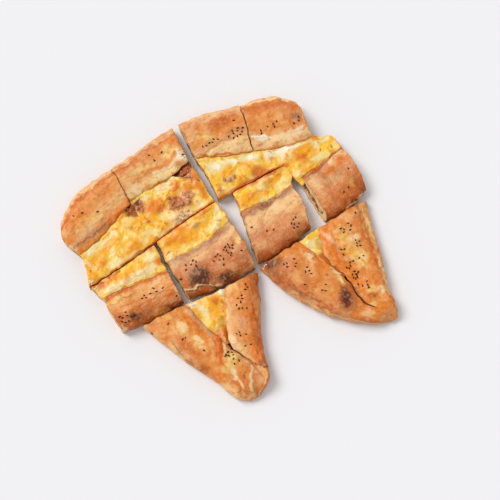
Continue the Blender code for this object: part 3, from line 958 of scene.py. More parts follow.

# A stroke is a tone, its strength, width and rise, and its points, where rise lifts the surface along it or
# cuts into it. Painted highlights: the cream stroke along B4's lip near X 118 to 136, and the cream strokes on
# T1's pleats near X -62 to -82, Y -108 to -130.
# The brown lines along the lips of A2 near Y 101 to 107, of B1 near Y 23 to 28.5 and of B4 near Y 35 to 46 are partly
# painted shade under the lips; the brown lines where T1's right fold ends near X -60 to -47 and along T2's groove
# near X 66 to 75 are painted shade.
CRUST_STROKES = marks_of("""
A1
rust .85 3.6 -.4 -161 112 -152 121 -136 131.5 -115 138 -96 140 -84 141
ember .7 3.4 .6 -116 96 -108 100 -98 102 -85 103
pale .6 2.8 .5 -150 102 -134 102 -120 105 -103 111
shade .55 2 -.6 -159 89 -147 91 -136 92 -122 95 -112 98
orange .75 3 .3 -150 82 -138 85 -128 84 -114 91 -101 98
A2
brown .7 2.6 -.35 -82 144.5 -58 145.5 -34 146.5
orange .75 3.6 .5 -58 125 -46 123 -36 122 -25 124 -18 129
cream .6 2.6 .4 -48 118 -32 117 -22 119 -17 121
brown .5 1.6 -.3 -82 101 -75 103 -66 105 -53 106 -40 107
A3
brown .45 1.8 -.4 10 111 21 113 30 114.5 46 111 62 106
cream .5 2.4 .4 12 108 24 110 40 108 56 103
rust .9 2.4 -.3 -2 113 5 110 13 106.5 24 102 32 99
brown .6 1.5 -.2 -2 112 5 109 12 106
A4
cream .85 1.8 0 60 141 75 139 90 135 104 129 116 119
white .8 2.6 .7 61 103 67 99 73 97.5 79 92
rust .8 1.8 -.3 78 80.5 87 77.5 94 74.5
dark .75 1.8 -.3 95 73 103 71
B1
rust .8 4.4 -.2 -156 26 -131 25 -112 23 -88 21
brown .8 2 -.5 -156 28.5 -131 27 -112 25.3 -88 23.3
clay .7 1.6 -.45 -156 12 -144 11 -128 8 -110 8
brown .5 1.6 -.5 -132 3 -117 1.5 -100 3 -88 5
cream .6 1.5 0 -155 -8 -150 -15
shade .5 1.5 -.3 -152 17 -138 17.5 -126 16
B2
cream .9 1.5 .2 -84 -5 -78 -7 -73 -9.5 -62 -10.5 -57 -13 -50 -18 -46 -20
dark .8 1.2 -.5 -80 -8.5 -73 -11 -62 -12 -56 -14.5 -50 -19
clay .5 1.6 -.4 -70 16 -56 19 -40 20 -24 22
B3
shade .6 2.2 -.5 18 33 30 32 43 32.5 58 33.5 68 35
clay .6 1.5 -.3 30 22 38 27 48 29
B4
brown .9 2.6 -.6 84 36 94 35 106 36 115 38.5 126 42 138 46
cream .65 1.8 .5 118 36 127 39 136 42
ash .6 2.4 .3 86 33 103 33 116 36
cream .85 1.3 .3 108 -15 117 -13 126 -11 137 -7
clay .6 1.8 -.4 106 30 107 22 110 14
T1
rust .7 4 -.3 -91 -34 -90 -44 -86 -53 -84 -60
orange .8 3 .2 -96 -30 -96 -39 -98 -47
orange .8 3 .2 -98 -50 -91 -51 -87 -58
tan .75 4 .3 -82 -62 -86 -73 -91 -85
ember .95 7.5 .9 -74 -62 -77 -70 -80 -78
ember .95 4.5 .7 -79 -76 -82 -82 -86 -90
cream .8 3 .3 -70 -66 -73 -76 -77 -84
rust .7 1.5 -.6 -72 -64 -75 -75 -79 -84
brown .6 1.4 -.5 -79 -64 -82 -74 -86 -84
cream .8 3 .4 -62 -108 -67 -119 -72 -130
brown .6 1.4 -.5 -69 -110 -75 -120 -78 -131
cream .75 2 .3 -78 -110 -79 -120 -82 -130
rust .8 2.8 -.5 -27 -50 -29 -62 -35 -78 -42 -91 -48 -100
brown .7 1.8 -.5 -60 -102 -56 -108 -52 -114 -47 -117.5
dark .7 2.4 0 -50 -115 -47 -116
shade .6 1.6 -.3 -120 -50 -114 -70 -108 -88
T2
pale .7 2.6 .4 -3 -31 3 -47 13 -71 22 -86 32 -99
brown .6 2.4 -.4 66.5 -72 69 -86 71 -95 72 -104 75 -113
cream .75 3 .3 62 -60 64 -70 65 -80
shade .6 1.6 -.3 3 -24 10 -48 20 -68 34 -88
brown .55 1.6 -.4 50 -34 55 -42 57 -50
tan .7 4.4 .2 128 -22 119 -48 115 -64
cream .7 1.6 .4 124 -24 120 -40 115 -62
cream .75 2.6 .3 110 -75 108 -90 104 -104
brown .55 1.4 -.4 122 -24 114 -48 110 -64
brown .55 1.4 -.4 106 -76 103 -92
clay .6 1.6 -.4 82 -22 80 -36 74 -52 72 -62
""")

# Marks on the cheese, where a patch also has a rise. The slices whose cheese hangs together share those
# of "right"
# The dark mince patches at the bare corner of A1 and A2, near X -86 to -80, Y 98 to 100, are partly painted shade in
# the hollow under the lips.
CHEESE_PATCHES = marks_of("""
A1
curd .95 -146 79 8 4 10 .5
curd .9 -115 84 4 5 30 .5
curd .8 -128 81 9 2.6 0 .3
curd .9 -129 55 10 4.5 5 .4
curd .7 -126 67 3 4 0 .3
butter .9 -96 88 9 5 20 .4
deep .8 -143 67 9 7 0 0
browned .7 -140 62 5 3 0 .1
toasted .6 -148 58 2.6 1.6 0 .1
browned .6 -131 73 4 2.4 20 .1
deep .7 -122 76 9 4 0 0
deep .8 -106 64 12 6 0 0
deep .7 -138 72 10 5 0 0
deep .9 -156 55 5 7 0 0
browned .5 -104 60 12 4 0 0
toasted .6 -99 81 1.6 1.6 0 .2
yellow .8 -108 80 7 5 0 0
toasted .6 -84 73 4 3 0 .2
butter .6 -101 71 5 3 0 .2
toasted .6 -91 76 2 2 0 .2
yellow .7 -112 68 8 5 0 .2
mince_red .95 -157 61.5 1.4 1.4 0 .4
white .8 -161 50 3 2.2 -20 .5
mince_dark .95 -86 98 9 6 14 -1
mince .85 -84 91 7 4 0 -.4
butter .6 -92 62 5 3 0 .2
browned .4 -152 48 8 2.5 0 0
A2
curd .9 -52 101 4.5 4 0 .4
curd .9 -68 100 6 3 0 .4
curd .9 -44 102 9 4 20 .4
curd .8 -36 104 6 3 0 .3
yellow .95 -50 92 6 7 0 .2
browned .95 -65 88 10 8 0 .5
ember .75 -62 83 5 4 20 .2
ember .5 -70 92 3 3 0 .1
mince .95 -81 98.5 10 6 -8 -.9
mince_dark .6 -80 100 5 3 0 -.3
mince_red .8 -78 92 5 4 0 -.4
orange .9 -35 97 5 5 0 .4
ember .6 -34 96 3 3 0 .1
clay .75 -40 79 9 8 0 .2
shade .6 -41 77 6 5 0 0
mince .7 -43 78 4 3 0 .1
curd .6 -45 84 4 3 0 .3
ash .8 -45 64 11 5 -20 .3
curd .85 -50 68 6 4 0 .4
curd .8 -38 63 5 3.5 0 .4
white .5 -54 63 5 3 0 .2
rosy .85 -35 75 2.4 4 0 .4
rosy .8 -25 79 4 3 0 .5
rust .7 -29 81 3 3 0 0
curd .7 -23 69 4 5 0 .4
brown .8 -23 60 4 2.2 8 0
deep .6 -26 87 8 3 0 0
deep .8 -16 84 7 4 0 0
browned .9 -13 74 4 7 0 .1
browned .8 -23 88 10 3 -10 .1
butter .7 -62 72 6 4 0 .2
deep .7 -74 76 6 8 0 0
deep .6 -62 64 8 4 0 0
toasted .9 -78 76.5 1.6 1.3 0 .2
toasted .8 -51 64.5 1.2 1.2 0 0
toasted .8 -45 61.5 1.2 1.2 0 0
curd .7 -77 62 4 3 0 .1
clay .9 -16 98 9 5 -20 -.4
clay .8 -14 106 6 8 0 -.6
browned .8 -12 83 4 9 0 0
rust .9 -14 93 5 3 0 0
browned .8 -18 61 8 2.4 0 0
clay .7 -41 63 3 1.6 20 0
mince .5 -47 66 2.4 1.6 0 0
white .6 -50 62 4 2 0 0
right
curd .95 10 95 9 6 -10 .4
curd .95 28 91 13 5 -12 .3
curd .9 46 86 12 4.5 -16 .3
white .75 12 94 5 4 0 .4
white .6 30 91 6 3 -12 .2
white .6 50 84 6 3 -16 .2
clay .6 2 66 4 4 0 .2
browned .85 50 67 9 6 0 .4
toasted .75 48 65 7 3.4 0 .2
rosy .8 19 73 3.5 2.2 0 .2
rosy .7 66 73 2.6 2 0 .2
yellow .9 8 80 8 6 0 0
deep .6 38 77 9 5 0 0
deep .85 22 82 7 3.5 0 0
olive .8 18 72 6 3 0 .2
browned .5 4 71 5 5 0 0
orange .7 30 63 9 3 0 .2
curd .9 66 77 7 6 -10 .4
ash .7 66 73 3 2.4 0 0
curd .95 86 73 16 5 -10 .3
white .8 88 74 12 4 -10 .2
white .6 68 78 6 4 0 .1
curd .9 106 69 9 3.5 -10 .3
browned .95 97 58 9 7 -40 .3
browned .7 104 62 4 5 0 .2
toasted .8 100 58.5 3 2.6 -40 .3
deep .9 104 64 9 5 20 .1
curd .9 117 62 4 5 0 .4
curd .8 128 64 5 4 0 .3
yellow .85 124 56 6 4 0 0
curd .6 80 64 8 4 0 .3
deep .6 84 58 8 4 0 0
yellow .9 24 52 12 6 0 0
deep .7 34 46 14 6 0 0
deep .85 19 47 9 6 0 0
browned .85 29 47 5 2.5 10 .2
curd .75 42 50 5 4 0 .4
deep .8 60 49 9 5 0 0
butter .9 66 44 9 3 0 .3
olive .7 50 49 4 4 0 0
browned .8 54 53 4 3 0 .1
toasted .6 66 54 6 1.8 0 .1
browned .6 40 57 6 2 0 .1
deep .6 92 50 6 5 -30 .2
mince_dark .85 130 52 1.3 1.3 0 .2
mince_dark .8 117 55.5 1.2 1.2 0 .2
curd .9 110 48 7 4 0 .3
curd .75 84 42 5 4 0 .3
butter .8 120 48 6 3 0 .1
deep .85 100 42 8 3 10 .1
yellow .6 76 47 5 5 0 .1
butter .8 135 52 4 3 0 .1
deep .6 110 57 6 4 0 0
B1
deep .9 -146 43 12 3.5 0 .1
browned .9 -150 41 6 3 0 0
browned .6 -128 40 7 2 4 0
toasted .5 -91 35 4 3 0 0
browned .6 -152 37 4 2 0 0
toasted .6 -118 36 2 1.4 0 0
browned .5 -104 36 5 2 0 0
browned .85 -139 43 6 3 0 .2
curd .95 -140 33 14 4 0 .4
curd .9 -129 35 6 3 0 .2
curd .8 -101 35 7 3 0 .2
white .4 -118 33 10 3 0 0
curd .9 -112 31 16 4 0 .4
yellow .9 -118 44 16 5 3 0
deep .85 -126 39 14 4 0 0
deep .6 -104 40 8 4 0 0
rosy .5 -126 34 5 2.5 0 0
curd .95 -95 42 6 6 0 .4
browned .9 -89 34 3 4 0 .2
butter .85 -160 33 5 4 0 .2
mince_dark .9 -164 31.5 1.4 1.4 0 .2
rosy .6 -91 50 3.5 3 0 .1
rosy .6 -156 42 6 3 0 0
B2
deep .95 -64 45 12 8 0 0
deep .9 -48 42 12 8 0 0
ember .45 -62 47 5 3 0 0
ember .4 -50 50 5 3 0 0
browned .6 -56 42 5 4 0 .2
browned .6 -70 48 6 4 0 .1
toasted .9 -76 37 1.6 1.6 0 .2
curd .8 -76 32 6 3 0 .2
ash .7 -38 48 4 3.5 0 .2
butter .8 -38 52 5 2 20 .3
butter .7 -30 38 6 3 0 .1
deep .7 -28 45 7 5 0 0
browned .8 -22 57 10 2.5 8 0
yellow .9 -16 42 5 6 0 0
butter .8 -50 31.5 12 2.2 0 .1
browned .7 -50 54 12 2.6 4 0
T1
curd .95 -74 -34 4.5 12 22 .5
deep .95 -66 -45 6 9 14 0
olive .6 -71 -57 5 5 0 0
deep .9 -81 -36 3 8 0 0
browned .85 -59 -31 5 7 0 .2
toasted .8 -57 -41 2 2 0 .2
toasted .7 -62 -50 1.6 1.6 0 .2
white .8 -50 -28 4 4 0 .3
white .85 -83 -23 4 3 0 .5
browned .6 -66 -62 4 3 0 0
deep .8 -62 -38 6 10 14 0
toasted .6 -60 -33 3 4 0 .1
olive .6 -65 -53 5 6 0 0
toasted .6 -65 -58 2.6 2 0 0
toasted .7 -57 -45 1.4 1.4 0 .1
brown .6 -54 -37 1.4 4 -20 0
deep .6 -70 -50 4 6 0 0
T2
butter .9 54 -33 4 9 10 .3
olive .8 63 -33 4 7 0 0
curd .85 72 -38 4 11 15 .2
curd .8 57 -28 5 5 0 .2
olive .5 66 -38 3 5 0 0
browned .7 70 -28 4 4 0 .2
toasted .6 66 -42 1.6 1.6 0 .2
""")

# Painted shade: the dark mince strokes on A2's cheese along the lips near X -95 to -75 and X -30 to -9 are the shade
# under the lips. The toasted, browned and mince strokes along the cut between the rows, near Y 53 to 63, are partly
# painted shade in the crack.
CHEESE_STROKES = marks_of("""
A1
toasted .8 2.6 0 -112 52.5 -100 53 -92 53 -85 54.5
browned .7 2.2 .2 -104 94 -99 96 -95 97
browned .5 2 .2 -121 70 -115 72 -110 75 -116 77
A2
toasted .8 1.6 0 -66 57.5 -50 58 -35 59 -12 60.5
mince_dark .9 1.8 -.5 -95 98 -82 100 -75 103
ember .7 2.2 .2 -60 80 -52 88 -44 96 -34 94
mince_dark .8 1.8 -.5 -30 106 -23 101 -16 96 -9 90
mince .8 2 -.3 -33 78 -31 82 -27 84
mince .7 1.6 -.3 -47 80 -45 74 -41 72 -38 75
shade .7 1.5 -.3 -55 60 -48 60.5 -40 61
right
toasted .85 2.6 -.2 -2 63 15 63 30 61.5
toasted .8 6 .2 34 60.5 50 60.4 62 59.6
browned .8 5 .2 58 59.8 68 59.2 80 58.4
mince .9 3 -.4 38 60.4 50 60.3 58 60
mince .9 2.6 -.4 58 60 66 59.5 74 59
browned .6 2 .1 14 58 30 58.5 44 58
B1
toasted .85 1.8 0 -162 43.5 -146 45 -130 45.5
B2
curd .95 7 .6 -19 37 -13 46 -6 56
T1
T2
""")

# What shows of the filling where the cheese of a pointed end runs out
# How far the cheese baked
CHEESE_BAKED = {
    "A1": 0.4, "A2": 0.6, "A3": 0.45, "A4": 0.4, "B1": 0.3, "B2": 0.45, "B3": 0.35, "B4": 0.35, "T1": 0.4, "T2": 0.3,
}
# The brown line on T2's cheese near X 66 to 70 is painted shade in the groove between the folds.
CHEESE_ENDS = marks_of("""
T1
orange .9 12 0 -76 -64 -72 -70 -68 -80
brown .5 3 0 -66 -64 -68 -72
ember .95 6 .4 -74 -60 -76 -68 -79 -78
pale .8 2.2 .2 -70 -69 -72 -75 -74 -82
T2
brown .6 2 0 66 -50 70 -80
""")


def screen_colour(red, green, blue):
    """A colour given as it shows on a screen, 0 to 255, in the linear values that Blender works with."""
    values = np.array((red, green, blue)) / 255
    return tuple(np.where(values <= 0.04045, values / 12.92, ((values + 0.055) / 1.055) ** 2.4))


def tone(name, description, *screen):
    """A property for a colour that is given as it shows on a screen."""
    return bpy.props.FloatVectorProperty(
        name=name, description=description, subtype="COLOR", size=3, min=0, max=1, default=screen_colour(*screen)
    )


def length_of(name, description, millimetres):
    """A property for a length that is given in millimetres."""
    return bpy.props.FloatProperty(
        name=name, description=description, subtype="DISTANCE", unit="LENGTH", min=0, default=millimetres * MM
    )


def angle_of(name, description, degrees):
    """A property for an angle that is given in degrees."""
    return bpy.props.FloatProperty(name=name, description=description, subtype="ANGLE", default=math.radians(degrees))


def strength_of(name, description, default, least=0):
    """A property for a plain number."""
    return bpy.props.FloatProperty(name=name, description=description, min=least, default=default)


class PideShape(bpy.types.PropertyGroup):
    """The sizes of the surfaces' cells and of their relief."""

    cell: length_of("Cell", "Width of a cell where the surface shows", 0.75)
    hidden_cell: length_of("Hidden cell", "Width of a cell on the underside", 3.0)
    cut_radius: length_of("Cut radius", "Rounding of the crust's cut edges", 0.7)
    tip_radius: length_of("Tip radius", "Rounding of the pinched points", 2.5)
    blisters: length_of("Blisters", "Height of the crust's broad blisters", 0.5)
    dimples: length_of("Dimples", "Depth of the crust's small dimples", 0.3)
    creases: length_of("Creases", "Height of the creases that run along the folds", 0.35)
    lumps: length_of("Lumps", "Height of the cheese's lumps over the mince", 0.9)
    bubbles: length_of("Bubbles", "Height of the cheese's baked bubbles", 0.3)
    bead: length_of("Bead", "Height of the melted cheese that stands against the crust's lip", 1.3)
    grain: length_of("Grain", "Height of the grains of mince", 0.9)


class PideTones(bpy.types.PropertyGroup):
    """The tones of the dough, the cheese and the mince."""

    # Cream: nearly raw dough; on B4's lip and on T1's pleats it is a painted highlight
    cream: tone("Cream", "Dough that stayed nearly raw", 243, 214, 165)
    pale: tone("Pale", "Lightly baked dough", 235, 188, 133)
    tan: tone("Tan", "Evenly baked dough", 228, 162, 98)
    golden: tone("Golden", "Well baked dough", 222, 140, 75)
    orange: tone("Orange", "Dough glazed by the oil", 226, 130, 56)
    ember: tone("Ember", "Dough and cheese red with pepper oil", 222, 112, 46)
    rust: tone("Rust", "Browned dough", 202, 108, 52)
    clay: tone("Clay", "Dull browned dough", 196, 113, 67)
    # Brown: dark dough low on the fold; low on the B row's folds, along their lips and in T2's groove it is partly
    # painted shade
    brown: tone("Brown", "Dark dough low on the fold", 170, 88, 45)
    # Dark: nearly burnt dough; at the B row's outer edges and beside T2's groove it is partly painted shade
    dark: tone("Dark", "Nearly burnt dough", 108, 52, 26)
    char: tone("Char", "Burnt blisters", 86, 56, 42)
    # Shade: painted shade, grey-brown, in the folds, the hollows and under the lips
    shade: tone("Shade", "Grey-brown dough in the folds", 146, 96, 68)
    # Ash: grey dough and cheese; at the crusts' lips, in A1's groove and in A4's hollow this grey is painted shade
    ash: tone("Ash", "Greyed dough at the lips", 184, 136, 106)
    rosy: tone("Rosy", "Pinkish dough", 213, 145, 102)
    white: tone("White", "Torn dough and dry crumbs", 244, 232, 208)
    # Butter: dough and cheese wet with butter; on A2's crust near X -23 and on T2's left fold near X 65 it is a
    # painted highlight
    butter: tone("Butter", "Dough and cheese wet with butter", 244, 212, 128)
    crumb: tone("Crumb", "The dough's cut inside", 242, 206, 150)
    yellow: tone("Yellow", "Melted cheese", 245, 196, 74)
    deep: tone("Deep", "Melted cheese where it is thick", 241, 166, 50)
    browned: tone("Browned", "Baked cheese", 225, 128, 42)
    # Toasted: toasted cheese; along the cut between the rows it is partly painted shade in the crack
    toasted: tone("Toasted", "Toasted cheese", 192, 90, 28)
    curd: tone("Curd", "Cheese that stayed white", 240, 220, 162)
    olive: tone("Olive", "Cheese over oil", 206, 168, 78)
    mince: tone("Mince", "Cooked mince", 150, 78, 38)
    # Dark mince: painted shade in the gaps of the mince and in the hollows under the lips, and dark bits of mince
    mince_dark: tone("Dark mince", "The gaps in the mince", 92, 40, 20)
    mince_red: tone("Red mince", "Mince with pepper paste", 176, 84, 40)
    seed: tone("Seed", "Nigella seeds", 82, 42, 16)
    herb: tone("Herb", "Dried herb", 150, 148, 92)


class PideStage(bpy.types.PropertyGroup):
    """The floor, the lights and the camera."""

    floor: tone("Floor", "The plain floor", 231, 230, 232)
    sky: strength_of("Sky", "Strength of the even light", 0.64)
    lamp: strength_of("Lamp", "Strength of the soft lamp", 2.05)
    azimuth: angle_of("Azimuth", "Turn of the camera round the pide", -30)
    elevation: angle_of("Elevation", "Angle of the camera over the floor", 77.5)
    distance: length_of("Distance", "From the camera to the plan's middle", 1200)
    lens: strength_of("Lens", "Focal length in millimetres", 82.05, 1)


def palette_of(context):
    """Every tone by its name, less what the surfaces' gloss adds to it under the stage's light."""
    tones = context.scene.pide_tones
    given = {name: np.array(getattr(tones, name)) for name in PideTones.__annotations__}
    return {name: np.maximum(colour * GAIN - GLOSS, LEAST_LIGHT) for name, colour in given.items()}


def warped(points, size, reach, seed):
    """The points moved by smooth noise, so that what is drawn on them gets uneven outlines."""
    return points + reach * np.stack([smooth_noise(points, size, seed + axis) for axis in range(3)], axis=-1)


def paint(colours, palette, *layers):
    """Moves the colours towards each layer's tone by its mask, one layer after the other."""
    for name, mask in layers:
        colours += (palette[name] - colours) * np.clip(mask, 0, 1)[:, None]


def patch_reach(x, y, px, py, long, wide, turn=0):
    """How far each point is from a patch's middle, as a share of its half length and half width."""
    angle = math.radians(turn)
    along = (x - px) * math.cos(angle) + (y - py) * math.sin(angle)
    beside = (y - py) * math.cos(angle) - (x - px) * math.sin(angle)
    return np.hypot(along / long, beside / wide)


def stroke_reach(x, y, points):
    """How far each point is from a line through the stroke's points."""
    nearest = np.full(len(x), 1e9)
    for (ax, ay), (bx, by) in zip(points[:-1], points[1:]):
        dx, dy = bx - ax, by - ay
        share = np.clip(((x - ax) * dx + (y - ay) * dy) / (dx * dx + dy * dy), 0, 1)
        nearest = np.minimum(nearest, np.hypot(x - ax - share * dx, y - ay - share * dy))
    return nearest


def dab(colours, skin, ragged, palette, patches, strokes, where):
    """Paints patches and strokes with ragged edges, and returns how far they lift the surface."""
    x, y = warped(warped(skin, 9.0, 2.4, 71), 3.2, 1.0, 75)[:, :2].T
    rise = np.zeros(len(skin))
    for name, strength, px, py, long, wide, turn, *lift in patches:
        mask = ease(1.5, 0.4, patch_reach(x, y, px, py, long, wide, turn) + ragged) * where
        paint(colours, palette, (name, strength * mask))
        rise += mask * (lift[0] if lift else 0)
    worn = ease(-0.75, -0.1, smooth_noise(skin, 11.0, 79))
    for name, strength, width, lift, *line in strokes:
        points = list(zip(line[::2], line[1::2]))
        mask = ease(1.5, 0.5, stroke_reach(x, y, points) * 2 / width + ragged) * where * worn
        paint(colours, palette, (name, strength * mask))
        rise += mask * lift
    return rise


def fold_profile(key, reach, palette):
    """The dough's tone across a fold, smooth between the named shares."""
    shares = [share for _, share in FOLD_TONES[key]]
    colours = np.array([palette[name] for name, _ in FOLD_TONES[key]])
    return np.stack([np.interp(reach, shares, column) for column in colours.T], axis=-1)


def crust_surface(name, skin, marks, faces, shape, palette, seed):
    """The crust's tones and its relief: blisters, dimples and creases on the fold, pores on the cuts, and painted
    shade in the creases and in the pointed ends' grooves.
    """
    depth, station, end = marks["depth"], marks["station"], marks["end"]
    top = ease(0.18, 0.02, depth) * ease(5.2, 7.0, station)
    cut = ease(0.02, 0.2, depth)
    broad = smooth_noise(skin, 9.0, 11)
    small = smooth_noise(skin, 4.2, 12)
    fine = smooth_noise(skin, 1.9, 13)
    cloud = smooth_noise(skin, 14.0, 16)
    stretch = (6.0, 30.0, 6.0) if name in TIPS else (30.0, 6.0, 6.0)
    creases = smooth_noise(warped(skin, 12.0, 2.0, 17), stretch, 14)
    ragged = 0.3 * small + 0.16 * fine
    reach = np.where(station > DOUGH_EDGE, marks["across"], 0)
    reach = np.clip(reach + 0.05 * broad + 0.035 * small, 0, 1)
    if name in TIPS:
        right, left = (fold_profile(name + side, reach, palette) for side in ("_right", "_left"))
        colours = right + (left - right) * (marks["side"] > 0.5)[:, None]
    else:
        colours = fold_profile(name, reach, palette)
    paint(
        colours, palette,
        ("tan", 0.8 * ease(5.6, 4.2, station)),
        ("rust", 0.5 * ease(0.1, 0.7, broad) * ease(5, 4, station)),
        ("rust", 0.4 * ease(0.05, 0.55, cloud + 0.3 * small) * top),
        ("pale", 0.4 * ease(0.05, 0.55, -cloud + 0.3 * broad) * top),
    )
    rise = dab(colours, skin, ragged, palette, CRUST_PATCHES[name], CRUST_STROKES[name], top)
    # Painted shade in the creases: their grooves are painted a duller clay
    folded = ease(0.07, 0.01, np.abs(creases)) * ease(-0.1, 0.3, broad) * top
    edge = ease(1.3, 0.25, end) * (end < 5) * top
    if name in TIPS:
        closed = TIPS[name]["base"][0] - SEAL_LENGTH * TIPS[name]["sealed"]
        cut = cut * ease(closed - 7, closed + 1, skin[:, 1])
    paint(
        colours, palette,
        ("rust", 0.34 * ease(0.1, 0.6, small + 0.5 * fine + 0.4 * broad) * top),
        ("pale", 0.28 * ease(0.15, 0.6, -small + 0.5 * fine) * top),
        ("clay", 0.45 * folded),
        ("brown", 0.55 * edge * ease(-0.6, 0.3, small + 0.6 * fine)),
        ("crumb", cut),
        ("rust", 0.3 * cut * ease(0.2, 0.7, small)),
    )
    # Painted shade in the pointed ends' grooves: their inner faces are painted brown on T2 and rust on T1
    if name in TIPS:
        paint(colours, palette, ("brown" if name == "T2" else "rust", 0.95 * cut * ease(-48, -58, skin[:, 1])))
    lift = shape.blisters / MM * broad - shape.dimples / MM * ease(0.15, 0.6, small) + 0.1 * fine
    lift = lift - shape.creases / MM * ease(0.16, 0.0, np.abs(creases)) + rise
    pores = -0.35 * ease(0.25, 0.6, smooth_noise(skin, 1.6, 15)) * ease(0.3, 0.6, depth) * (end < 0.2)
    moved = skin + point_normals(skin, faces) * (lift * top + pores)[:, None]
    shown = ease(11, 14.5, marks["height"]) * ease(0.3, 0.02, depth)
    moved[:, 2] += CRUST_RELIEF * ripple(skin[:, 0], skin[:, 1], RELIEF_LENGTH, seed) * shown
    return moved, colours


def cheese_surface(name, skin, marks, faces, shape, palette):
    """The cheese's tones and relief: melted lumps over the mince, bubbles, what browned in the oven, and painted
    shade along the cut between the rows.
    """
    depth, station, end = marks["depth"], marks["station"], marks["end"]
    top = ease(0.3, 0.02, depth)
    place = warped(warped(skin, 14.0, 4.0, 37), 5.0, 1.2, 41)
    broad = smooth_noise(place, 15.0, 31)
    lumps = smooth_noise(place, 9.0, 32)
    other = smooth_noise(place, 10.0, 35)
    small = smooth_noise(place, 4.2, 33)
    fine = smooth_noise(place, 1.9, 34)
    strings = np.abs(smooth_noise(place, (6.0, 2.8, 4.0), 38))
    ragged = 0.28 * small + 0.14 * fine
    colours = np.tile(palette["yellow"], (len(skin), 1))
    baked = CHEESE_BAKED[name]
    paint(
        colours, palette,
        ("deep", 0.9 * ease(-0.15, 0.45, broad + 0.35 * small + 0.3 * (baked - 0.5))),
        ("butter", 0.6 * ease(0.1, 0.45, other - 0.25 * small)),
        ("curd", 0.55 * ease(0.25, 0.6, -lumps - 0.2 * broad + 0.25 * fine)),
        ("curd", 0.25 * ease(0.3, 0.65, -fine - 0.3 * lumps)),
    )
    group = "right" if name in ("A3", "A4", "B3", "B4") else name
    rise = dab(colours, skin, ragged, palette, CHEESE_PATCHES[group], CHEESE_STROKES[group], top)
    ends = ease(1.8, 0.3, end) * (end < 5) * (name in ("B2", "B3", "B4"))
    split = ease(UNBROKEN_FROM + UNBROKEN_WITHIN, UNBROKEN_FROM + 4, skin[:, 0]) * (name in SLICES)
    cut = 0.7 * ease(6.9, 7.7, station) * split
    # Painted shade along the cut between the rows: the seam's edges are painted toasted, or mince on A1 and B1,
    # partly for the shade in the crack.
    seam = ease(7.5, 7.95, station) * split * ease(-0.7, 0.2, broad + 0.5 * small)
    paint(
        colours, palette,
        ("browned", baked * ease(0.25, 0.65, small + 0.3 * fine + 0.5 * lumps)),
        ("toasted", 0.8 * baked * ease(0.55, 0.9, fine + 0.5 * lumps + 0.3 * small)),
        ("browned", 0.3 * ease(0.08, 0.0, strings)),
        ("browned", np.maximum(cut, ends) * ease(-0.5, 0.3, small + 0.5 * fine) * top),
        ("mince" if name in ("A1", "B1") else "toasted", 0.9 * seam),
        ("browned", 0.6 * ease(0.1, 0.5, depth)),
        ("mince_red", 0.8 * ease(0.5, 0.9, depth)),
    )
    lift = shape.lumps / MM * lumps + 0.28 * small + 0.1 * fine + 0.25 * np.minimum(strings, 0.3) + rise
    lift = lift + shape.bubbles / MM * ease(0.5, 0.2, lump_noise(skin, 7.5, 36))
    for x, y, long, wide, light in THIN.get(name, ()):
        thin = ease(1.25, 0.55, patch_reach(place[:, 0], place[:, 1], x, y, long, wide) + ragged) * top
        between = lump_noise(place, 4.4, 42)
        grain = smooth_noise(place, 3.6, 43)
        paint(
            colours, palette,
            ("ash", 0.6 * thin * ease(0.0, 0.35, grain)),
            ("clay", (0.85 - 0.5 * light) * thin * ease(-0.1, 0.3, -grain)),
            ("rosy", 0.6 * thin * ease(0.3, 0.5, other)),
            ("mince", (0.9 - 0.3 * light) * thin * ease(0.5, 0.8, between + 0.2 * fine)),
            ("curd", (0.45 + 0.5 * light) * thin * ease(0.5, 0.15, between - 0.3 * fine)),
        )
        lift = lift + thin * (0.9 * (0.5 - between) + 0.2 * fine)
    if name in CRUMBS:
        for x, y, _, _, crumb in scatter(CRUMBS[name], CRUMB_SPACING, CRUMB_DRAW + list(CRUMBS).index(name)):
            away = np.hypot(skin[:, 0] - x, skin[:, 1] - y) * 2 / crumb[5] + 0.5 * small + 0.3 * fine
            lift = lift + 0.7 * ease(1.7, 0.3, away)
            paint(colours, palette, (crumb[6], 0.5 * ease(2.2, 1.0, away) * top))
    if name in TIPS:
        stop = TIPS[name]["cheese_end"]
        reached = ease(stop + 4, stop - 3, skin[:, 1] + 2 * small)
        paint(colours, palette, ("rust", 0.95 * reached))
        dab(colours, skin, ragged, palette, (), CHEESE_ENDS[name], reached)
    level = np.maximum(ease(6.2, 7.2, station), ease(2.4, 0.6, end))[:, None] * (name in SLICES)
    away = point_normals(skin, faces) * (1 - level) + np.array((0, 0, 1.0)) * level
    moved = skin + away * (lift * top)[:, None]
    bead = np.exp(-(((marks["across"] - 1.05) / 0.05) ** 2)) * ease(-0.35, 0.25, broad + 0.3 * small)
    moved[:, 2] += shape.bead / MM * BEADS.get(name, 0.4) * bead * top
    moved[:, 2] += CHEESE_RELIEF * ripple(skin[:, 0], skin[:, 1], RELIEF_LENGTH, 77) * top
    return moved, colours


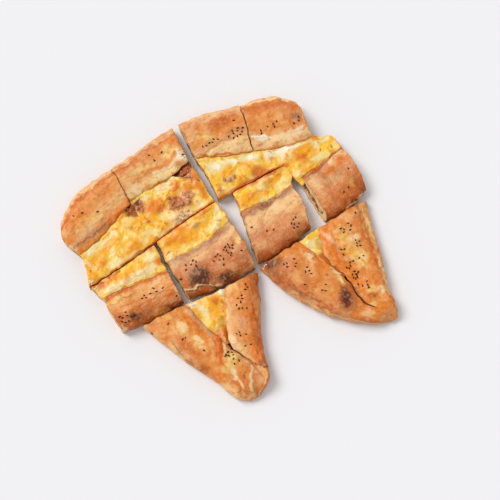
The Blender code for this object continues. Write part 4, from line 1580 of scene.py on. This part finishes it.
def meat_surface(skin, marks, faces, shape, palette):
    """The mince's tones and relief: grains of cooked meat, with painted shade in the gaps between them."""
    gaps = lump_noise(skin, 4.2, 51)
    broad = smooth_noise(skin, 7.0, 52)
    fine = smooth_noise(skin, 1.6, 53)
    colours = np.tile(palette["mince"], (len(skin), 1))
    ends = ease(0.6, 0.1, marks["end"])
    paint(
        colours, palette,
        ("mince_red", 0.8 * ease(0.0, 0.5, broad + 0.3 * fine)),
        # Painted shade in the gaps between the grains, which the relief also sets lower
        ("mince_dark", ease(0.5, 0.85, gaps + 0.15 * fine)),
        ("shade", 0.5 * ends * ease(-0.2, 0.3, fine)),
        ("crumb", 0.85 * ends * ease(-0.05, 0.25, broad + 0.5 * fine)),
    )
    lift = shape.grain / MM * (0.45 - gaps) + 0.15 * fine
    moved = skin + point_normals(skin, faces) * np.minimum(lift, 0.35)[:, None]
    for x, y, long, wide, name, share in BARE:
        bare = ease(1.2, 0.6, patch_reach(skin[:, 0], skin[:, 1], x, y, long, wide)) * (marks["depth"] < 0.2)
        moved[:, 2] += bare * (1.6 + 1.8 * broad + 1.8 * (0.5 - gaps) + 0.5 * fine)
        paint(
            colours, palette,
            (name, share * bare * ease(-0.4, 0.2, fine + broad)),
            ("tan", 0.5 * share * bare * ease(0.25, 0.6, fine - broad)),
            # Painted shade between the bare lumps
            ("mince_dark", bare * ease(0.55, 0.8, gaps + 0.2 * fine)),
        )
    return moved, colours


def scatter(places, spacing, seed):
    """Where the small things of one piece lie: (x, y, heading, size, place), drawn inside each place's spread.

    One that would come closer to another than the spacing is drawn again, a little further out each time.
    """
    draw = np.random.default_rng(seed)
    rows = []
    for place in places:
        x, y, wide, deep, count = place[:5]
        for _ in range(count):
            for attempt in range(40):
                turn = draw.uniform(0, 2 * math.pi)
                reach = math.sqrt(draw.uniform(0, 1)) * (1 + 0.02 * attempt)
                at = (x + wide * reach * math.cos(turn), y + deep * reach * math.sin(turn))
                if all(math.dist(at, row[:2]) > spacing for row in rows):
                    break
            rows.append((*at, draw.uniform(0, math.pi), draw.uniform(0.88, 1.12), place))
    return rows


def make_piece(name, skin, faces, colours, material, nodes=(), crisp=None, joined=0):
    """A piece of the visual model from its skin in the plan's millimetres, kept inside the CAD's box.

    Edges that turn by more than the crisp angle, in degrees, are shaded as edges, and edges shorter than the
    joined length, in millimetres, are closed up.
    """
    points = np.clip((skin - (*PLAN_CENTRE, 0)) * MM, *CAD_BOX)
    mesh = bpy.data.meshes.new(name)
    mesh.from_pydata(points.tolist(), [], faces)
    mesh.shade_smooth()
    if crisp:
        mesh.set_sharp_from_angle(angle=math.radians(crisp))
    attribute = mesh.color_attributes.new(name="tone", type="FLOAT_COLOR", domain="POINT")
    attribute.data.foreach_set("color", np.column_stack([colours, np.ones(len(colours))]).ravel())
    mesh.materials.append(material)
    if joined:
        form = bmesh.new()
        form.from_mesh(mesh)
        bmesh.ops.dissolve_degenerate(form, dist=joined * MM, edges=form.edges)
        form.to_mesh(mesh)
        form.free()
    piece = bpy.data.objects.new(name, mesh)
    bpy.context.scene.collection.objects.link(piece)
    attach(piece, "root")
    if nodes:
        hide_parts(*nodes)


def node(tree, kind, sockets=(), **settings):
    """A shader node with its settings, and with its inputs linked to sockets or set to values."""
    made = tree.nodes.new("ShaderNode" + kind)
    for key, value in settings.items():
        setattr(made, key, value)
    for key, value in dict(sockets).items():
        if isinstance(value, bpy.types.NodeSocket):
            tree.links.new(value, made.inputs[key])
        else:
            made.inputs[key].default_value = value
    return made


def worked(tree, operation, first, second):
    """What a Math node makes of two numbers."""
    return node(tree, "Math", {0: first, 1: second}, operation=operation).outputs[0]


def ranged(tree, value, from_min, from_max, to_min, to_max):
    """A number carried from one range to another, and kept inside it."""
    ranges = {"From Min": from_min, "From Max": from_max, "To Min": to_min, "To Max": to_max}
    return node(tree, "MapRange", {"Value": value, **ranges}).outputs["Result"]


def pattern(tree, kind, scale, **values):
    """The outputs of a noise or a Voronoi texture on the piece's own coordinates."""
    place = node(tree, "TexCoord").outputs["Object"]
    return node(tree, kind, {"Vector": place, "Scale": scale, **values}).outputs


def uneven_tone(tree, given):
    """A colour made browner in some spots and paler in others: a noise drives a gamma on it."""
    noise = pattern(tree, "TexNoise", given["Scale"], Detail=4.0, Roughness=0.6)
    centred = worked(tree, "SUBTRACT", noise["Fac"], 0.5)
    gamma = worked(tree, "ADD", worked(tree, "MULTIPLY", centred, given["Amount"]), 1.0)
    return node(tree, "Gamma", {"Color": given["Color"], "Gamma": gamma}).outputs["Color"]


def specks(tree, given):
    """A mask of small specks: the cells of a Voronoi texture whose own random value is under the share."""
    cells = pattern(tree, "TexVoronoi", given["Scale"])
    red = node(tree, "SeparateColor", {"Color": cells["Color"]}).outputs["Red"]
    chosen = worked(tree, "LESS_THAN", red, given["Share"])
    return worked(tree, "MULTIPLY", chosen, ranged(tree, cells["Distance"], given["Size"], 0.0, 0.0, 1.0))


def fine_relief(tree, given):
    """The height of a baked surface: fine wrinkles and scattered pores."""
    wrinkles = pattern(tree, "TexNoise", given["Scale"], Detail=5.0, Roughness=0.65, Distortion=0.6)
    hollow = ranged(tree, pattern(tree, "TexVoronoi", given["Scale"])["Distance"], 0.0, 0.35, 1.0, 0.0)
    return worked(tree, "SUBTRACT", wrinkles["Fac"], worked(tree, "MULTIPLY", hollow, given["Pores"]))


# The shader node groups: the inputs with their values, the output, and what works it out
GROUPS = {
    "uneven tone": ({"Color": (1, 1, 1, 1), "Scale": 200.0, "Amount": 0.5}, "Color", uneven_tone),
    "specks": ({"Scale": 400.0, "Share": 0.2, "Size": 0.3}, "Mask", specks),
    "fine relief": ({"Scale": 500.0, "Pores": 0.4}, "Height", fine_relief),
}


def grouped(tree, name, **values):
    """The output of a node group, which is built the first time that it is asked for."""
    inputs, output, working = GROUPS[name]
    group = bpy.data.node_groups.get(name)
    if group is None:
        group = bpy.data.node_groups.new(name, "ShaderNodeTree")
        for socket, value in inputs.items():
            kind = "NodeSocketColor" if socket == "Color" else "NodeSocketFloat"
            group.interface.new_socket(socket, in_out="INPUT", socket_type=kind).default_value = value
        kind = "NodeSocketColor" if output == "Color" else "NodeSocketFloat"
        group.interface.new_socket(output, in_out="OUTPUT", socket_type=kind)
        given = group.nodes.new("NodeGroupInput").outputs
        group.links.new(working(group, given), group.nodes.new("NodeGroupOutput").inputs[output])
    return node(tree, "Group", values, node_tree=group).outputs[output]


# The finishes. patch, speck and relief are the sizes of the uneven spots, the specks and the wrinkles, and height
# is the wrinkles' depth, all in millimetres. gloss is the roughness that the relief varies.
FINISHES = {
    "baked dough": dict(
        patch=1.8, amount=0.7, speck=1.1, share=0.16, gloss=0.5, relief=1.1, height=0.3, coat=0.0,
    ),
    "cooked mince": dict(
        patch=1.6, amount=0.7, speck=0.9, share=0.25, gloss=0.42, relief=0.8, height=0.3, coat=0.15,
    ),
    "baked cheese": dict(
        patch=2.4, amount=0.55, speck=1.1, share=0.1, gloss=0.36, relief=1.4, height=0.28, coat=0.12,
    ),
    "nigella seed": dict(
        patch=0.6, amount=0.6, speck=0.5, share=0.3, gloss=0.6, relief=0.35, height=0.1, coat=0.0,
    ),
}


def baked_material(name):
    """A baked surface: its painted tones made uneven, fine specks, a roughness that varies, and fine relief."""
    if name in bpy.data.materials:
        return bpy.data.materials[name]
    material = bpy.data.materials.new(name)
    material.use_nodes = True
    tree = material.node_tree
    shader = tree.nodes["Principled BSDF"]
    finish = FINISHES[name]
    painted = node(tree, "Attribute", attribute_name="tone").outputs["Color"]
    uneven = grouped(tree, "uneven tone", Color=painted, Scale=1 / (finish["patch"] * MM), Amount=finish["amount"])
    specked = grouped(tree, "specks", Scale=1 / (finish["speck"] * MM), Share=finish["share"], Size=0.35)
    darker = node(tree, "Gamma", {"Color": uneven, "Gamma": 1.7}).outputs["Color"]
    mixed = node(tree, "Mix", {0: specked, 6: uneven, 7: darker}, data_type="RGBA")
    tree.links.new(mixed.outputs[2], shader.inputs["Base Color"])
    heights = grouped(tree, "fine relief", Scale=1 / (finish["relief"] * MM), Pores=0.35)
    rough = ranged(tree, heights, 0.2, 0.7, finish["gloss"] + 0.1, finish["gloss"] - 0.1)
    tree.links.new(rough, shader.inputs["Roughness"])
    bump = node(tree, "Bump", {"Height": heights, "Strength": 0.5, "Distance": finish["height"] * MM})
    tree.links.new(bump.outputs["Normal"], shader.inputs["Normal"])
    for socket, value in {"Specular IOR Level": 0.3, "Coat Weight": finish["coat"], "Coat Roughness": 0.3}.items():
        shader.inputs[socket].default_value = value
    return material


def closed_form(rings, sides, radius_at, ends=0.5):
    """A form one unit long, closed at both ends: rings of points round its length, whose radius is a function
    of the share of the length and the turn round it."""
    share = (1 - np.cos(np.linspace(0, math.pi, rings + 2)[1:-1, None])) / 2
    turn = np.arange(sides)[None, :] * 2 * math.pi / sides
    radius = radius_at(share, turn)
    side = np.stack([share - 0.5 + 0 * turn, radius * np.cos(turn), radius * np.sin(turn)], axis=-1).reshape(-1, 3)
    index = np.arange(rings * sides).reshape(rings, sides)
    beside = np.roll(index, -1, axis=1)
    faces = np.stack([index[:-1], beside[:-1], beside[1:], index[1:]], axis=-1).reshape(-1, 4).tolist()
    first, last = rings * sides, rings * sides + 1
    faces += np.stack([index[0] * 0 + first, beside[0], index[0]], axis=-1).tolist()
    faces += np.stack([index[-1] * 0 + last, index[-1], beside[-1]], axis=-1).tolist()
    return np.vstack([side, ((-ends, 0, 0), (ends, 0, 0))]), faces


def seed_radius(share, turn):
    """A nigella seed: three-cornered, and pointed at both ends."""
    return 0.5 * np.sin(math.pi * share**0.9) ** 0.7 * (1 + 0.14 * np.cos(3 * turn))


def crumb_radius(share, turn):
    """A crumb of mince: a ball with low bumps."""
    bumps = 0.16 * np.sin(3 * turn + 9 * share) + 0.1 * np.sin(5 * turn - 14 * share)
    return np.sqrt(share * (1 - share)) * (1 + bumps)


def surface_of(name):
    """A piece's surface, ready to be met by rays."""
    mesh = bpy.data.objects[name].data
    return BVHTree.FromPolygons([vertex.co for vertex in mesh.vertices], [face.vertices[:] for face in mesh.polygons])


def lie_on(surface, x, y):
    """Where a plumb line at a place of the plan meets a surface, and the surface's normal there."""
    start = Vector(((x - PLAN_CENTRE[0]) * MM, (y - PLAN_CENTRE[1]) * MM, 0.1))
    at, normal, _, _ = surface.ray_cast(start, Vector((0, 0, -1)))
    return (at, normal) if at is not None and normal.z > STEEPEST else None


def laid(table, under, spacing, seed, sunk, size_of):
    """A row for copies() of each thing that a table lays on its surfaces, and the table's place of each.

    under makes a surface's name from a key of the table, and size_of a thing's size from its share and place.
    """
    rows, places = [], []
    for number, (key, spots) in enumerate(table.items()):
        surface = surface_of(under.format(key))
        for x, y, heading, share, place in scatter(spots, spacing, seed + number):
            rest = lie_on(surface, x, y)
            if rest:
                rows.append((*rest, heading, np.array(size_of(share, place)), sunk))
                places.append(place)
    return rows, places


def copies(form, faces, rows):
    """Many copies of one form, each stretched, turned to its heading and stood on its normal, as one skin.

    rows holds for each copy its place, normal, heading, size (x, y, z) and how far it is sunk.
    """
    places = np.array([tuple(row[0]) for row in rows])
    up = np.array([tuple(row[1]) for row in rows])
    heading = np.array([row[2] for row in rows])
    sizes = np.array([row[3] for row in rows])
    sunk = np.array([row[4] for row in rows])
    level = np.stack([np.cos(heading), np.sin(heading), 0 * heading], axis=-1)
    along = level - (level * up).sum(axis=1)[:, None] * up
    along /= np.linalg.norm(along, axis=1)[:, None]
    frames = np.stack([along, np.cross(up, along), up], axis=1)
    points = np.einsum("npi,nij->npj", form[None] * sizes[:, None] * MM, frames)
    points += (places + up * ((0.5 - sunk) * sizes[:, 2] * MM)[:, None])[:, None]
    skin = points.reshape(-1, 3) / MM + (*PLAN_CENTRE, 0)
    return skin, [[corner + number * len(form) for corner in face] for number in range(len(rows)) for face in faces]


class PIDE_OT_stage(bpy.types.Operator):
    """Makes the floor, the lights and the camera."""

    bl_idname = "pide.stage"
    bl_label = "Stage"

    def execute(self, context):
        stage = context.scene.pide_stage
        mesh = bpy.data.meshes.new("floor")
        corners = [(x * FLOOR_REACH, y * FLOOR_REACH, 0) for x, y in ((-1, -1), (1, -1), (1, 1), (-1, 1))]
        mesh.from_pydata(corners, [], [(0, 1, 2, 3)])
        floor = bpy.data.objects.new("floor", mesh)
        context.scene.collection.objects.link(floor)
        material = bpy.data.materials.new("floor")
        material.use_nodes = True
        tree = material.node_tree
        shader = tree.nodes["Principled BSDF"]
        place = node(tree, "TexCoord")
        cloud = node(tree, "TexNoise", {"Vector": place.outputs["Object"], "Scale": 3.0})
        base = np.array(stage.floor)
        mixed = node(tree, "Mix", {0: cloud.outputs["Fac"], 6: (*(base * 0.99), 1), 7: (*base, 1)}, data_type="RGBA")
        tree.links.new(mixed.outputs[2], shader.inputs["Base Color"])
        shader.inputs["Roughness"].default_value = 0.9
        shader.inputs["Specular IOR Level"].default_value = 0.1
        mesh.materials.append(material)

        world = bpy.data.worlds.new("studio")
        world.use_nodes = True
        sky = world.node_tree.nodes["Background"]
        sky.inputs["Color"].default_value = (1, 1, 1, 1)
        sky.inputs["Strength"].default_value = stage.sky
        context.scene.world = world
        context.scene.view_settings.view_transform = "Standard"

        target = Vector((-PLAN_CENTRE[0] * MM, -PLAN_CENTRE[1] * MM, 0))
        lamp = bpy.data.lights.new("soft lamp", "SUN")
        lamp.angle = math.radians(LAMP_SPREAD)
        lamp.energy = stage.lamp
        stand = bpy.data.objects.new("soft lamp", lamp)
        stand.location = target + Vector(LAMP_PLACE)
        stand.rotation_euler = (target - stand.location).to_track_quat("-Z", "Y").to_euler()
        context.scene.collection.objects.link(stand)

        lens = bpy.data.cameras.new("camera")
        lens.lens = stage.lens
        lens.sensor_width = SENSOR_WIDTH
        camera = bpy.data.objects.new("camera", lens)
        level = math.cos(stage.elevation)
        back = Vector((math.sin(stage.azimuth) * level, -math.cos(stage.azimuth) * level, math.sin(stage.elevation)))
        camera.location = target + back * stage.distance
        camera.rotation_euler = (-back).to_track_quat("-Z", "Y").to_euler()
        context.scene.collection.objects.link(camera)
        context.scene.camera = camera
        return {"FINISHED"}


class PIDE_OT_crusts(bpy.types.Operator):
    """Makes the folded crust of every piece."""

    bl_idname = "pide.crusts"
    bl_label = "Crusts"

    def execute(self, context):
        shape = context.scene.pide_shape
        palette = palette_of(context)
        cell, hidden, cut = shape.cell / MM, shape.hidden_cell / MM, shape.cut_radius / MM
        crust = baked_material("baked dough")
        for number, (name, slice_) in enumerate(SLICES.items()):
            block = slice_layer(slice_, DOUGH, cell, hidden, DOUGH_HIDDEN, (cut, cut), DOUGH_CELLS)
            self.finish(name, block, shape, palette, SLICE_RELIEF + number, crust)
        for number, (name, tip) in enumerate(TIPS.items()):
            radii = (cut, shape.tip_radius / MM)
            block = tip_layer(tip, DOUGH, cell * 1.08, hidden, DOUGH_HIDDEN, radii, DOUGH_CELLS, 1.0, True)
            self.finish(name, block, shape, palette, TIP_RELIEF + number, crust)
        return {"FINISHED"}

    def finish(self, name, block, shape, palette, seed, material):
        skin, faces, marks = block
        moved, colours = crust_surface(name, skin, marks, faces, shape, palette, seed)
        nodes = ("dough_" + name,)
        make_piece("crust_" + name, moved, faces.tolist(), colours, material, nodes, joined=JOINED)


class PIDE_OT_meat(bpy.types.Operator):
    """Makes the layer of mince of every piece."""

    bl_idname = "pide.meat"
    bl_label = "Mince"

    def execute(self, context):
        shape = context.scene.pide_shape
        palette = palette_of(context)
        cell, hidden = shape.cell / MM * 1.35, shape.hidden_cell / MM
        radii = (0.3, 0.3)
        mince = baked_material("cooked mince")
        for name, slice_ in SLICES.items():
            block = slice_layer(slice_, MEAT, cell, hidden, 0, radii, FILLING_CELLS)
            self.finish(name, block, shape, palette, mince)
        for name, tip in TIPS.items():
            block = tip_layer(tip, MEAT_FOLD, cell, hidden, 0, radii, FILLING_CELLS, POCKET_END - 0.02, False)
            self.finish(name, block, shape, palette, mince)
        return {"FINISHED"}

    def finish(self, name, block, shape, palette, material):
        skin, faces, marks = block
        moved, colours = meat_surface(skin, marks, faces, shape, palette)
        make_piece("mince_" + name, moved, faces.tolist(), colours, material, ("meat_" + name,))


class PIDE_OT_cheese(bpy.types.Operator):
    """Makes the baked cheese of every piece."""

    bl_idname = "pide.cheese"
    bl_label = "Cheese"

    def execute(self, context):
        shape = context.scene.pide_shape
        palette = palette_of(context)
        cell, hidden = shape.cell / MM, shape.hidden_cell / MM
        cheese = baked_material("baked cheese")
        for name, slice_ in SLICES.items():
            radii = [0.05 if "cheese_" + side in slice_ else 1.0 for side in ("left", "right")]
            block = slice_layer(slice_, CHEESE, cell, hidden, 0, radii, FILLING_CELLS, "cheese_")
            self.finish(name, block, shape, palette, cheese)
        for name, tip in TIPS.items():
            radii = (0.6, 1.0)
            block = tip_layer(tip, CHEESE_FOLD, cell, hidden, 0, radii, FILLING_CELLS, POCKET_END - 0.02, False)
            self.finish(name, block, shape, palette, cheese)
        return {"FINISHED"}

    def finish(self, name, block, shape, palette, material):
        skin, faces, marks = block
        moved, colours = cheese_surface(name, skin, marks, faces, shape, palette)
        piece, nodes = "cheese_" + name + "_baked", ("cheese_" + name,)
        make_piece(piece, moved, faces.tolist(), colours, material, nodes, SHARP_FROM)


class PIDE_OT_seeds(bpy.types.Operator):
    """Lays the nigella seeds on the crusts."""

    bl_idname = "pide.seeds"
    bl_label = "Nigella seeds"

    def execute(self, context):
        rows, _ = laid(
            SEEDS, "crust_{}", SEED_SPACING, SEED_DRAW, SEED_SUNK,
            lambda share, place: np.array(SEED_SIZE) * share * SEED_SHOWN,
        )
        form, faces = closed_form(5, 6, seed_radius)
        skin, faces = copies(form, faces, rows)
        shade = np.repeat(np.random.default_rng(SHADE_DRAW).uniform(0.6, 1.5, len(rows)), len(form))[:, None]
        seeds = baked_material("nigella seed")
        make_piece("nigella_seeds", skin, faces, palette_of(context)["seed"] * shade, seeds)
        return {"FINISHED"}


class PIDE_OT_crumbs(bpy.types.Operator):
    """Lays the crumbs of mince that stand out of the cheese."""

    bl_idname = "pide.crumbs"
    bl_label = "Mince crumbs"

    def execute(self, context):
        palette = palette_of(context)
        rows, places = laid(
            CRUMBS, "cheese_{}_baked", CRUMB_SPACING, CRUMB_DRAW, CRUMB_SUNK + 0.08,
            lambda share, place: place[5] * share * np.array((1, 0.8, 0.6)),
        )
        form, faces = closed_form(9, 12, crumb_radius)
        skin, faces = copies(form, faces, rows)
        skin = warped(warped(skin, 3.8, 1.5, 62), 2.0, 0.5, 65)
        colours = np.repeat([palette[place[6]] for place in places], len(form), axis=0)
        paint(
            colours, palette,
            ("clay", 0.7 * ease(0.0, 0.4, smooth_noise(skin, 4.6, 61))),
            ("ash", 0.6 * ease(0.0, 0.4, smooth_noise(skin, 3.4, 67))),
            ("mince", 0.8 * ease(0.15, 0.5, smooth_noise(skin, 2.2, 63))),
            ("curd", 0.5 * ease(0.25, 0.6, smooth_noise(skin, 2.2, 64))),
        )
        make_piece("mince_crumbs", skin, faces, colours, bpy.data.materials["cooked mince"], ())
        return {"FINISHED"}


class PIDE_OT_loose(bpy.types.Operator):
    """Lays the bread crumbs and the flecks of herb."""

    bl_idname = "pide.loose"
    bl_label = "Loose bits"

    def execute(self, context):
        palette = palette_of(context)
        kinds = (
            ("mince_bits", MINCE_BITS, 150, (3.2, 2.2, 1.7), 0.55, ("clay", "rosy"), "cooked mince", "meat"),
            ("bread_crumbs", BREAD_CRUMBS, 110, (1.9, 1.5, 1.2), 0.3, ("white", "crumb"), "baked dough", "dough"),
            ("herb_flecks", HERBS, 130, (1.7, 1.1, 0.3), 0.3, ("herb", "curd"), "baked dough", None),
        )
        for name, table, first, size, sunk, tones, material, slot in kinds:
            rows, _ = laid(
                table, "{}", BIT_SPACING, first, sunk,
                lambda share, place: np.array(size) * share**3,
            )
            form, faces = closed_form(5, 7, crumb_radius)
            skin, faces = copies(form, faces, rows)
            skin = warped(skin, 1.1, 0.6 if name == "mince_bits" else 0.25, 66)
            mixed = np.repeat(np.random.default_rng(first + 9).uniform(0, 1, len(rows)), len(form))
            colours = np.tile(palette[tones[0]], (len(skin), 1))
            paint(colours, palette, (tones[1], mixed))
            make_piece(name, skin, faces, colours, bpy.data.materials[material], ())
        return {"FINISHED"}


class PIDE_PT_panel(bpy.types.Panel):
    """The pide's pieces and their settings."""

    bl_idname = "PIDE_PT_panel"
    bl_label = "Minced Meat Pide"
    bl_space_type = "VIEW_3D"
    bl_region_type = "UI"
    bl_category = "Pide"

    def draw(self, context):
        for settings in (context.scene.pide_shape, context.scene.pide_tones, context.scene.pide_stage):
            box = self.layout.box()
            for name in type(settings).__annotations__:
                box.prop(settings, name)
        for operator in OPERATORS:
            self.layout.operator(operator.bl_idname)


OPERATORS = (
    PIDE_OT_stage,
    PIDE_OT_crusts,
    PIDE_OT_meat,
    PIDE_OT_cheese,
    PIDE_OT_seeds,
    PIDE_OT_crumbs,
    PIDE_OT_loose,
)
CLASSES = (PideShape, PideTones, PideStage, *OPERATORS, PIDE_PT_panel)


def register():
    for part in CLASSES:
        bpy.utils.register_class(part)
    bpy.types.Scene.pide_shape = bpy.props.PointerProperty(type=PideShape)
    bpy.types.Scene.pide_tones = bpy.props.PointerProperty(type=PideTones)
    bpy.types.Scene.pide_stage = bpy.props.PointerProperty(type=PideStage)


def unregister():
    del bpy.types.Scene.pide_stage, bpy.types.Scene.pide_tones, bpy.types.Scene.pide_shape
    for part in reversed(CLASSES):
        bpy.utils.unregister_class(part)


def main():
    register()
    bpy.ops.pide.stage()
    bpy.ops.pide.crusts()
    bpy.ops.pide.meat()
    bpy.ops.pide.cheese()
    bpy.ops.pide.seeds()
    bpy.ops.pide.crumbs()
    bpy.ops.pide.loose()


if __name__ == "__main__":
    main()
